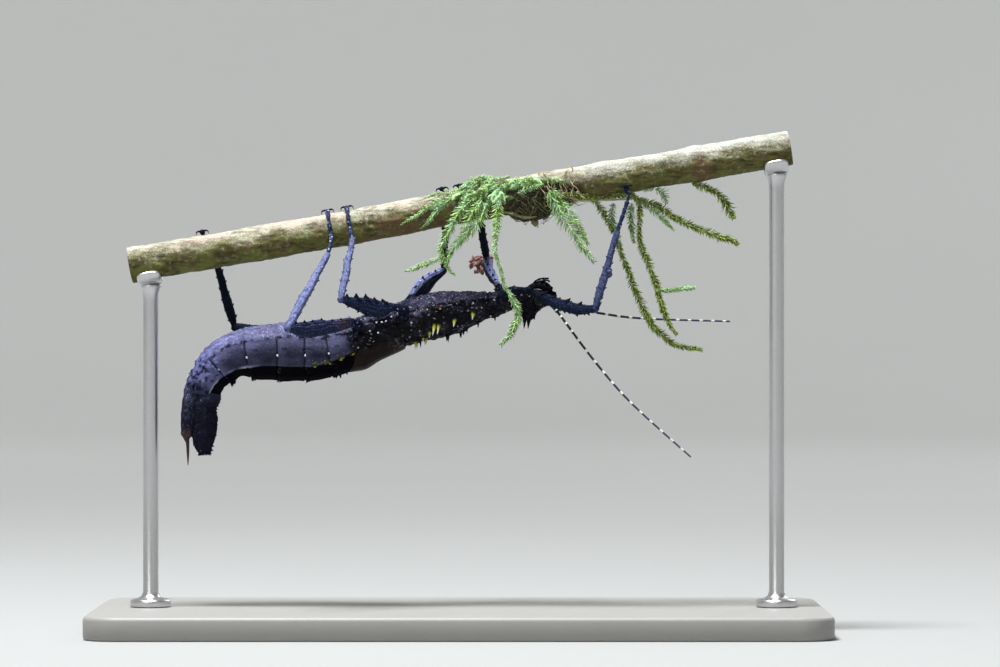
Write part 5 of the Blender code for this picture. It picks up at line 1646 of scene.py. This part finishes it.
def build_mouth():
    """The ridged jaws, the lobes over and beside them, the upper lip and two pairs of palps."""
    stations = in_middle(MOUTH, 70)
    grid = sweep(stations[:, :3], UP, stations[:, 3], stations[:, 4], 72)
    off_middle = np.abs(grid[..., 1])
    lift = 0.05 * granules(grid, 0.5, 82) - 0.1 * peak(off_middle, 0.0, 0.1)
    lift -= 0.12 * peak(off_middle, 0.75, 0.1)
    stripes = 0.45 * smooth(np.sin(grid[..., 0] * 7.0 + 1.2 * off_middle), 0.55, 0.9)
    shape = Shape()
    shape.skin(puffed(grid, lift), tone=0.01, rust=0.015 * stripes, pale=0.06 * stripes, slick=0.7)
    for side in (-1, 1):
        mirror = (1, side, 1)
        for route, fat, flat, looks in MOUTH_LOBES:
            lobe(shape, np.array(route) * mirror, fat, flat, **looks)
        segmented(shape, np.array(PALP) * mirror, 0.2, 4, tone=0.05)
        segmented(shape, np.array(SHORT_PALP) * mirror, 0.17, 3, tone=0.05)
    lobe(shape, UPPER_LIP, 0.42, 0.6, rust=0.01)
    shape.build("mouth_lobes", shared("insect_skin", skin_finish), "shell", "mouthparts")


def build_antennae():
    """Two long feelers with two thick joints at the foot and a light ring on each thin one."""
    finish = feeler_finish()
    first_ring = sizes().feeler_ring / MM
    for name, route in ANTENNAE.items():
        whole = curve_length(route)
        count = int(whole / 0.06)
        points = sampled(np.array(route), count)
        reach = np.linspace(0, whole, count)
        part = reach / whole
        size = 0.23 - 0.08 * part
        size = np.where(reach < 1.5, 0.3 + 0.14 * np.sin(np.pi * np.clip(reach / 1.5, 0, 1)), size)
        size = np.where((reach >= 1.5) & (reach < 2.5), 0.3 + 0.06 * np.sin(np.pi * (reach - 1.5)), size)
        spacing = first_ring * (1 + 0.68 * smooth(reach, 3.0, 11.0))
        cycle = np.mod(np.cumsum(whole / count / spacing), 1.0)
        band = peak(cycle, 0.5, 0.15 + 0.04 * part) * smooth(reach, 1.4, 2.4)
        size = size * (1 + 0.1 * peak(cycle, 0.66, 0.06) + 0.05 * noise(points, 0.5, 91))
        size[-3:] *= (0.8, 0.55, 0.25)
        shape = Shape()
        looks = {"pale": smooth(band, 0.35, 0.75), "tone": smooth(part, 0.2, 0.8)}
        shape.skin(sweep(points, UP, size, size, 16), **looks)
        shape.build(f"antenna_{name}_rings", finish, "feeler", "antenna_" + name)


# ---------------------------------------------------------------- legs


def keeled(points, halves, up, sides, corners, grain, seed):
    """A leg part with four keels and small grains."""
    grid = sweep(points, up, halves[:, 0], halves[:, 1], sides)
    angle = 2 * np.pi * np.arange(sides) / sides
    keel = np.cos(2 * (angle - math.pi / 4)) ** 12
    lift = halves.mean(axis=1)[:, None] * corners * keel * (0.7 + 0.3 * noise(grid, 0.7, seed))
    lift = lift + grain * granules(grid, 0.42, seed + 1) + 0.035 * noise(grid, 0.5, seed + 2)
    return puffed(grid, lift), np.broadcast_to(keel, grid.shape[:2])


def leg_part(
    shape, route, sizes_of, count, up, tone, seed, teeth=(), sides=36, corners=0.16, tooth=0.04, under=0.0,
    ridges=0.0, **values,
):
    """A thigh or a shin. Each row of teeth is an angle, a spacing, a height and a start and end."""
    points = sampled(np.array(route, float), count)
    halves = through(sizes_of, np.linspace(0, len(sizes_of) - 1, count))
    halves = halves * (1 + 0.13 * noise(points, 1.3, seed + 9))[:, None]
    sway = np.stack([noise(points, 2.4, seed + axis) for axis in range(3)], axis=1)
    points = points + 0.16 * sway * np.sin(np.pi * np.linspace(0, 1, count))[:, None]
    grid, keel = keeled(points, halves, up, sides, corners, 0.09, seed)
    angle = 2 * np.pi * np.arange(sides) / sides
    folds = np.sin(7 * angle + 1.6 * noise(grid * (0.5, 1, 1), 1.6, seed + 6)) ** 2
    grid = puffed(grid, ridges * (folds - 0.5) * np.sin(np.pi * np.linspace(0.08, 0.92, count))[:, None])
    keel = np.maximum(keel, min(1.0, 8 * ridges) * (1 - smooth(folds, 0.05, 0.45)))
    # Painted shade: the lower side of a part is darkened by the under share
    shadow = under * smooth(-np.cos(angle - 0.55), -0.15, 0.25)
    shape.skin(grid, tone=np.broadcast_to(tone * (1 - shadow), grid.shape[:2]), keel=0.65 * keel, **values)
    along, rise, side = route_frame(points, up)
    whole = curve_length(np.array(route, float))
    looks = {"tone": tooth, "keel": 0.9 * (tooth < 0.1)}
    rng = np.random.default_rng(seed)
    for angle, spacing, height, first, last in teeth:
        turn = math.radians(angle)
        for place in np.arange(first, last, spacing / whole):
            spot = int(np.clip(place + rng.normal() * 0.008, 0, 1) * (count - 1))
            high, wide = halves[spot]
            out = rise[spot] * math.cos(turn) * high + side[spot] * math.sin(turn) * wide
            tall = height * rng.uniform(0.75, 1.15)
            root, way = points[spot] + out * 0.96, unit(out) + along[spot] * 0.3
            shape.spine(root, way, tall, max(0.13, 0.6 * tall), along[spot] * 0.18, 0.55, **looks)


def leg_up(start, end):
    rise = unit(np.array(end, float) - np.array(start, float))[2]
    return -FRONT if abs(rise) > STEEP else UP


def leg_hip(shape, name, seed, tone):
    """The hip joint, which comes out of the trunk, the short ring after it and their small cones."""
    hip, end, bends = LEGS[name][:3]
    radii = HIP_RADII[name.split("_")[0]]
    route = np.array([on_trunk(*hip, -0.9), on_trunk(*hip, 0.9), end])
    rng = np.random.default_rng(seed)
    for _ in range(26):
        root = route[1] + (route[2] - route[1]) * rng.uniform(-0.1, 1.1)
        way = unit(rng.normal(size=3) + (0, 0, 0.4))
        tall = rng.uniform(0.25, 0.5)
        foot = root + way * 0.82 * radii[1]
        # The pale cones partly paint glints on the glossy hip
        shape.spine(foot, way, tall, 0.45 * tall, sides=8, tone=0.4, pale=0.35 * rng.random())
    sizes_of = [(radius, radius) for radius in radii]
    leg_part(shape, route, sizes_of, 34, leg_up(route[1], end), tone, seed, HIP_TEETH, sides=30, corners=0.1)
    middle, radius = np.array(end, float), radii[-1]
    toward = unit(np.array(bends[0], float) - middle)
    ring = [middle - toward * 0.5, middle + toward * 0.3, middle + toward * 1.1]
    sizes_of = [(radius * factor,) * 2 for factor in (0.8, 1.12, 0.85)]
    leg_part(shape, ring, sizes_of, 26, leg_up(middle, bends[0]), tone, seed + 3, sides=28, corners=0.05)
    ball = (middle - toward * 1.2 * radius, middle, middle + toward * 1.2 * radius)
    lobe(shape, ball, 1.12 * radius, 1.0, 26, tone=tone)


def leg_thigh(shape, name, seed, tone):
    """The thigh with its rows of teeth. The left ones lean to the front and carry the tallest teeth."""
    pair = name.split("_")[0]
    right = name.endswith("right")
    _, end, bends, knee = LEGS[name][:4]
    middle = np.array(end, float)
    toward = unit(np.array(bends[0], float) - middle)
    route = [middle + toward * 0.4, *bends, knee]
    tallest = {"front": 0.9, "mid": 0.95, "hind": 0.6}[pair] * (0.55 if right else 1.0)
    if name == "hind_right":
        tallest = 0.42
    spacing = {"front": 2.2, "mid": 1.9, "hind": 2.4}[pair]
    rows = (
        (-24, spacing, tallest, 0.18, 0.93), (28, 2.1, 0.55 * tallest, 0.25, 0.95),
        (156, 2.0, 0.62 * tallest, 0.22, 0.96), (205, 2.0, 0.5 * tallest, 0.3, 0.95),
    )
    part = np.linspace(0, 1, 110)
    fading = 0.9 if name == "front_left" else 0.0
    # Painted shade: the bright thighs get a dark lower side
    bright = tone > 0.5
    leg_part(
        shape, route, FEMUR_SIZES[pair], 110, leg_up(route[0], knee),
        tone * (1 - fading * (1 - smooth(part, 0.26, 0.52)))[:, None], seed + 5, rows[::2] if right else rows,
        under=0.95 if bright else 0.0, ridges=0.12 if pair != "front" or bright else 0.0, sides=64,
        rust=(0.06 if name == "hind_left" else 0.0) * peak(part, 0.16, 0.1),
    )


def leg_shin(shape, name, seed, tone, thigh_tone):
    """The knee and the shin. The front left shin has a scar in its middle and a long spine at the knee."""
    pair = name.split("_")[0]
    knee, ankle = (np.array(point, float) for point in LEGS[name][3:5])
    lower = unit(ankle - knee)
    route = [knee, knee + lower * 1.2, ankle - lower * 3.0, ankle + lower * 0.25]
    looks = {"sides": 32, "corners": 0.2, "tooth": 0.75 * tone}
    leg_part(shape, route, TIBIA_SIZES[pair], 110, leg_up(knee, ankle), tone, seed + 7, SHIN_TEETH, **looks)
    cap = (knee - lower * 0.75, knee, knee + lower * 0.6)
    lobe(shape, cap, FEMUR_SIZES[pair][-1][0] * 1.05, 0.95, 24, tone=0.5 * (thigh_tone + tone))
    if name == "front_left":
        spot = knee + (ankle - knee) * 0.48
        scar = (spot - lower * 0.95, spot + np.array((0.48, 0, -0.14)), spot + lower * 0.95)
        lobe(shape, scar, 0.78, 0.7, 22, tone=tone)
        shape.spine(knee + (0.35, -0.1, 0.2), (0.85, 0, 1.0), 1.45, 0.4, tone=0.12)


def build_legs():
    finish = shared("insect_limb", limb_finish)
    for number, name in enumerate(LEGS):
        hip_tone, thigh_tone, shin_tone, _ = LEG_TONES[name]
        seed = 100 + 10 * number
        shape = Shape()
        leg_hip(shape, name, seed, hip_tone)
        leg_thigh(shape, name, seed, thigh_tone)
        leg_shin(shape, name, seed, shin_tone, thigh_tone)
        shape.build("leg_" + name, finish, "limb", *(f"{name}_{part}" for part in ("coxa", "femur", "tibia")))


def foot_route(name):
    """A foot's route from the ankle to the bark and then round the twig."""
    ankle, foot_x, lands, ends = LEGS[name][4:]
    ankle = np.array(ankle, float)
    turns = max(1, round(abs(ends - lands) / 28))
    angles = [lands + (ends - lands) * step / turns for step in range(turns + 1)]
    arc = [on_twig(foot_x, angle, FOOT_CLEARANCE) for angle in angles]
    before = lands - math.copysign(APPROACH_ANGLE, ends - lands)
    approach = on_twig(foot_x, before, FOOT_CLEARANCE + 1.3)
    return np.array([ankle - unit(approach - ankle) * 0.2, approach, *arc])


def foot_pads(shape, points, foot_x, tone):
    """A soft pad under each joint of the foot and one between the claws."""
    along = directions(points)
    middle = twig_centre(foot_x)
    for edge in FOOT_JOINTS[1:-1]:
        spot = int(edge * (len(points) - 1)) - 2
        here = points[spot]
        pad = (here - along[spot] * 0.25, here + unit(middle - here) * 0.16, here + along[spot] * 0.3)
        lobe(shape, pad, 0.26, 1.0, 16, tone=0.5 * tone, keel=0.4)
    end, hook, inward = points[-1], along[-1], unit(middle - points[-1])
    pad = (end - hook * 0.3, end + hook * 0.15 + inward * 0.1, end + hook * 0.4 + inward * 0.15)
    lobe(shape, pad, 0.3, 1.3, 18, tone=0.02, keel=1.0)


def foot_claws(shape, points, foot_x):
    """Two curved claws that grip the bark on both sides of the last pad."""
    claw = sizes().claw / MM
    end, hook = points[-1], directions(points)[-1]
    inward, axis = unit(twig_centre(foot_x) - end), twig_axis(foot_x)
    fat = 0.19 * (1 - np.linspace(0, 1, 24) ** 1.6) + 0.012
    for side in (-1, 1):
        path = np.array([
            end - hook * 0.1,
            end + hook * 0.25 + axis * side * 0.42 * claw - inward * 0.05,
            end + hook * 0.12 + axis * side * 0.78 * claw + inward * 0.05,
            end - hook * 0.12 + axis * side * 0.86 * claw + inward * 0.55,
        ])
        shape.skin(sweep(sampled(path, 24), inward, fat, fat * 0.8, 12), tone=0.02, keel=1.0)


def build_feet():
    """Six five-jointed feet, each with pads and two claws."""
    finish = shared("insect_limb", limb_finish)
    count = 120
    part = np.linspace(0, 1, count)
    within = np.interp(part, FOOT_JOINTS, np.arange(6)) % 1.0
    within[-1] = 1.0
    size = 0.26 + 0.16 * within**0.9 * np.sqrt(np.clip(1 - within**14, 0.05, 1))
    size = np.where(part > 0.67, 0.25 + 0.2 * smooth(part, 0.72, 1.0), size)
    size[-3:] *= (0.92, 0.75, 0.45)
    for number, name in enumerate(LEGS):
        tone, foot_x = LEG_TONES[name][3], LEGS[name][5]
        points = sampled(foot_route(name), count)
        grid = sweep(points, twig_axis(foot_x), size, size * 1.05, 26)
        speck = smooth(granules(grid, 0.75, 200 + number), 0.48, 0.66)
        lift = 0.05 * granules(grid, 0.34, 210 + number)
        shape = Shape()
        shape.skin(puffed(grid, lift), tone=tone, pale=0.75 * speck * (tone > 0.1), keel=0.2)
        foot_pads(shape, points, foot_x, tone)
        foot_claws(shape, points, foot_x)
        shape.build("foot_" + name, finish, "feeler", name + "_tarsus")


# ---------------------------------------------------------------- stage


def studio_floor():
    """A round floor that curves up far away."""
    count = 96
    turn = np.linspace(0, 2 * math.pi, count, endpoint=False)
    bend = [(1.6 + 1.2 * math.sin(a), 1.2 * (1 - math.cos(a))) for a in np.radians(np.linspace(8, 90, 12))]
    rings = [(0.02, 0), (0.5, 0), (1.6, 0), *bend, (2.8, 2.6)]
    grid = np.array([
        np.column_stack([radius * np.cos(turn), radius * np.sin(turn), np.full(count, height)])
        for radius, height in rings
    ])
    ids = np.arange(len(rings) * count).reshape(-1, count)
    after = np.roll(ids, -1, axis=1)
    quads = np.stack([ids[:-1], ids[1:], after[1:], after[:-1]], axis=-1).reshape(-1, 4).tolist()
    mesh = bpy.data.meshes.new("studio_floor")
    mesh.from_pydata(grid.reshape(-1, 3).tolist(), [], [ids[0].tolist(), *quads])
    mesh.shade_smooth()
    mesh.materials.append(floor_finish())
    floor = bpy.data.objects.new("studio_floor", mesh)
    bpy.context.scene.collection.objects.link(floor)


def soft_light(name, place, aim, size, power, colour):
    """A round area light that shines from one place towards another and can't be seen itself."""
    light = bpy.data.lights.new(name, "AREA")
    light.shape = "DISK"
    light.size = size
    light.energy = power
    light.color = colour
    lamp = bpy.data.objects.new(name, light)
    lamp.location = place
    lamp.rotation_euler = Vector(np.array(aim) - np.array(place)).to_track_quat("-Z", "Y").to_euler()
    lamp.visible_camera = False
    bpy.context.scene.collection.objects.link(lamp)


def build_stage():
    """Floor that curves up far away, soft light from above and a camera level with the insect."""
    scene = bpy.context.scene
    studio_floor()
    for name, place, size, power, colour in LIGHTS:
        soft_light(name, place, LIGHTS_AIM, size, power, colour)
    for number, turn in enumerate(np.radians((45, 135, 225, 315))):
        place = np.array((math.cos(turn), math.sin(turn), 1.6))
        soft_light(f"wall_light_{number}", place, place * (2.6, 2.6, 0.45), 0.9, 58.0, (1.0, 1.0, 1.0))
    world = bpy.data.worlds.new("studio")
    scene.world = world
    world.use_nodes = True
    sky = world.node_tree.nodes["Background"].inputs
    sky["Color"].default_value = SKY_COLOUR
    sky["Strength"].default_value = SKY_STRENGTH
    lens = bpy.data.cameras.new("camera")
    lens.sensor_width = SENSOR_WIDTH
    lens.lens = SENSOR_WIDTH * CAMERA_DISTANCE / VIEW_WIDTH
    lens.clip_start, lens.clip_end = 0.01, 20
    camera = bpy.data.objects.new("camera", lens)
    camera.location = (CAMERA_X, -CAMERA_DISTANCE, CAMERA_HEIGHT)
    camera.rotation_euler = (math.pi / 2, 0, 0)
    scene.collection.objects.link(camera)
    scene.camera = camera
    scene.view_settings.view_transform = "Standard"
    scene.view_settings.look = "None"


# ---------------------------------------------------------------- operators and panel


class INSECT_OT_stage(bpy.types.Operator):
    """Adds the floor, the lights and the camera"""

    bl_idname = "insect.stage"
    bl_label = "Stage"
    bl_options = {"REGISTER", "UNDO"}

    def execute(self, context):
        build_stage()
        return {"FINISHED"}


class INSECT_OT_plinth(bpy.types.Operator):
    """Builds the rounded base of the stand"""

    bl_idname = "insect.plinth"
    bl_label = "Base"
    bl_options = {"REGISTER", "UNDO"}

    def execute(self, context):
        build_plinth()
        return {"FINISHED"}


class INSECT_OT_rods(bpy.types.Operator):
    """Builds the two turned rods that hold the twig"""

    bl_idname = "insect.rods"
    bl_label = "Rods"
    bl_options = {"REGISTER", "UNDO"}

    def execute(self, context):
        build_rods()
        return {"FINISHED"}


class INSECT_OT_twig(bpy.types.Operator):
    """Builds the twig with its bark, knot and cut ends"""

    bl_idname = "insect.twig"
    bl_label = "Twig"
    bl_options = {"REGISTER", "UNDO"}

    def execute(self, context):
        build_twig()
        return {"FINISHED"}


class INSECT_OT_moss(bpy.types.Operator):
    """Builds the moss on the twig and its hanging shoots"""

    bl_idname = "insect.moss"
    bl_label = "Moss"
    bl_options = {"REGISTER", "UNDO"}

    def execute(self, context):
        build_moss()
        return {"FINISHED"}


class INSECT_OT_body(bpy.types.Operator):
    """Builds the skin and the spines of the thorax and the abdomen"""

    bl_idname = "insect.body"
    bl_label = "Body"
    bl_options = {"REGISTER", "UNDO"}

    def execute(self, context):
        build_body()
        return {"FINISHED"}


class INSECT_OT_tail(bpy.types.Operator):
    """Builds the last back plates and the egg scoop"""

    bl_idname = "insect.tail"
    bl_label = "Tail"
    bl_options = {"REGISTER", "UNDO"}

    def execute(self, context):
        build_tail()
        build_scoop()
        return {"FINISHED"}


class INSECT_OT_wings(bpy.types.Operator):
    """Builds the two small leathery wings"""

    bl_idname = "insect.wings"
    bl_label = "Wings"
    bl_options = {"REGISTER", "UNDO"}

    def execute(self, context):
        build_wings()
        return {"FINISHED"}


class INSECT_OT_head(bpy.types.Operator):
    """Builds the head with its spines"""

    bl_idname = "insect.head"
    bl_label = "Head"
    bl_options = {"REGISTER", "UNDO"}

    def execute(self, context):
        build_head()
        return {"FINISHED"}


class INSECT_OT_eyes(bpy.types.Operator):
    """Builds the two faceted eyes"""

    bl_idname = "insect.eyes"
    bl_label = "Eyes"
    bl_options = {"REGISTER", "UNDO"}

    def execute(self, context):
        build_eyes()
        return {"FINISHED"}


class INSECT_OT_mouth(bpy.types.Operator):
    """Builds the jaws, the lips and the palps"""

    bl_idname = "insect.mouth"
    bl_label = "Mouthparts"
    bl_options = {"REGISTER", "UNDO"}

    def execute(self, context):
        build_mouth()
        return {"FINISHED"}


class INSECT_OT_antennae(bpy.types.Operator):
    """Builds the two ringed feelers"""

    bl_idname = "insect.antennae"
    bl_label = "Feelers"
    bl_options = {"REGISTER", "UNDO"}

    def execute(self, context):
        build_antennae()
        return {"FINISHED"}


class INSECT_OT_legs(bpy.types.Operator):
    """Builds the six legs down to the ankle"""

    bl_idname = "insect.legs"
    bl_label = "Legs"
    bl_options = {"REGISTER", "UNDO"}

    def execute(self, context):
        build_legs()
        return {"FINISHED"}


class INSECT_OT_feet(bpy.types.Operator):
    """Builds the six feet with their claws"""

    bl_idname = "insect.feet"
    bl_label = "Feet"
    bl_options = {"REGISTER", "UNDO"}

    def execute(self, context):
        build_feet()
        return {"FINISHED"}


OPERATORS = (
    INSECT_OT_stage,
    INSECT_OT_plinth,
    INSECT_OT_rods,
    INSECT_OT_twig,
    INSECT_OT_moss,
    INSECT_OT_body,
    INSECT_OT_tail,
    INSECT_OT_wings,
    INSECT_OT_head,
    INSECT_OT_eyes,
    INSECT_OT_mouth,
    INSECT_OT_antennae,
    INSECT_OT_legs,
    INSECT_OT_feet,
)


class INSECT_PT_panel(bpy.types.Panel):
    """Lists the pieces, the sizes and the colours."""

    bl_label = "Stick insect"
    bl_idname = "INSECT_PT_panel"
    bl_space_type = "VIEW_3D"
    bl_region_type = "UI"
    bl_category = "Insect"

    def draw(self, context):
        for made in OPERATORS:
            self.layout.operator(made.bl_idname)
        for group in (context.scene.insect_sizes, context.scene.insect_colours):
            for name in group.__annotations__:
                self.layout.prop(group, name)


CLASSES = (InsectColours, InsectSizes, *OPERATORS, INSECT_PT_panel)


def register():
    for made in CLASSES:
        bpy.utils.register_class(made)
    bpy.types.Scene.insect_colours = bpy.props.PointerProperty(type=InsectColours)
    bpy.types.Scene.insect_sizes = bpy.props.PointerProperty(type=InsectSizes)


def unregister():
    del bpy.types.Scene.insect_sizes
    del bpy.types.Scene.insect_colours
    for made in reversed(CLASSES):
        bpy.utils.unregister_class(made)


def main():
    register()
    for made in OPERATORS:
        group, name = made.bl_idname.split(".")
        getattr(getattr(bpy.ops, group), name)()


if __name__ == "__main__":
    main()
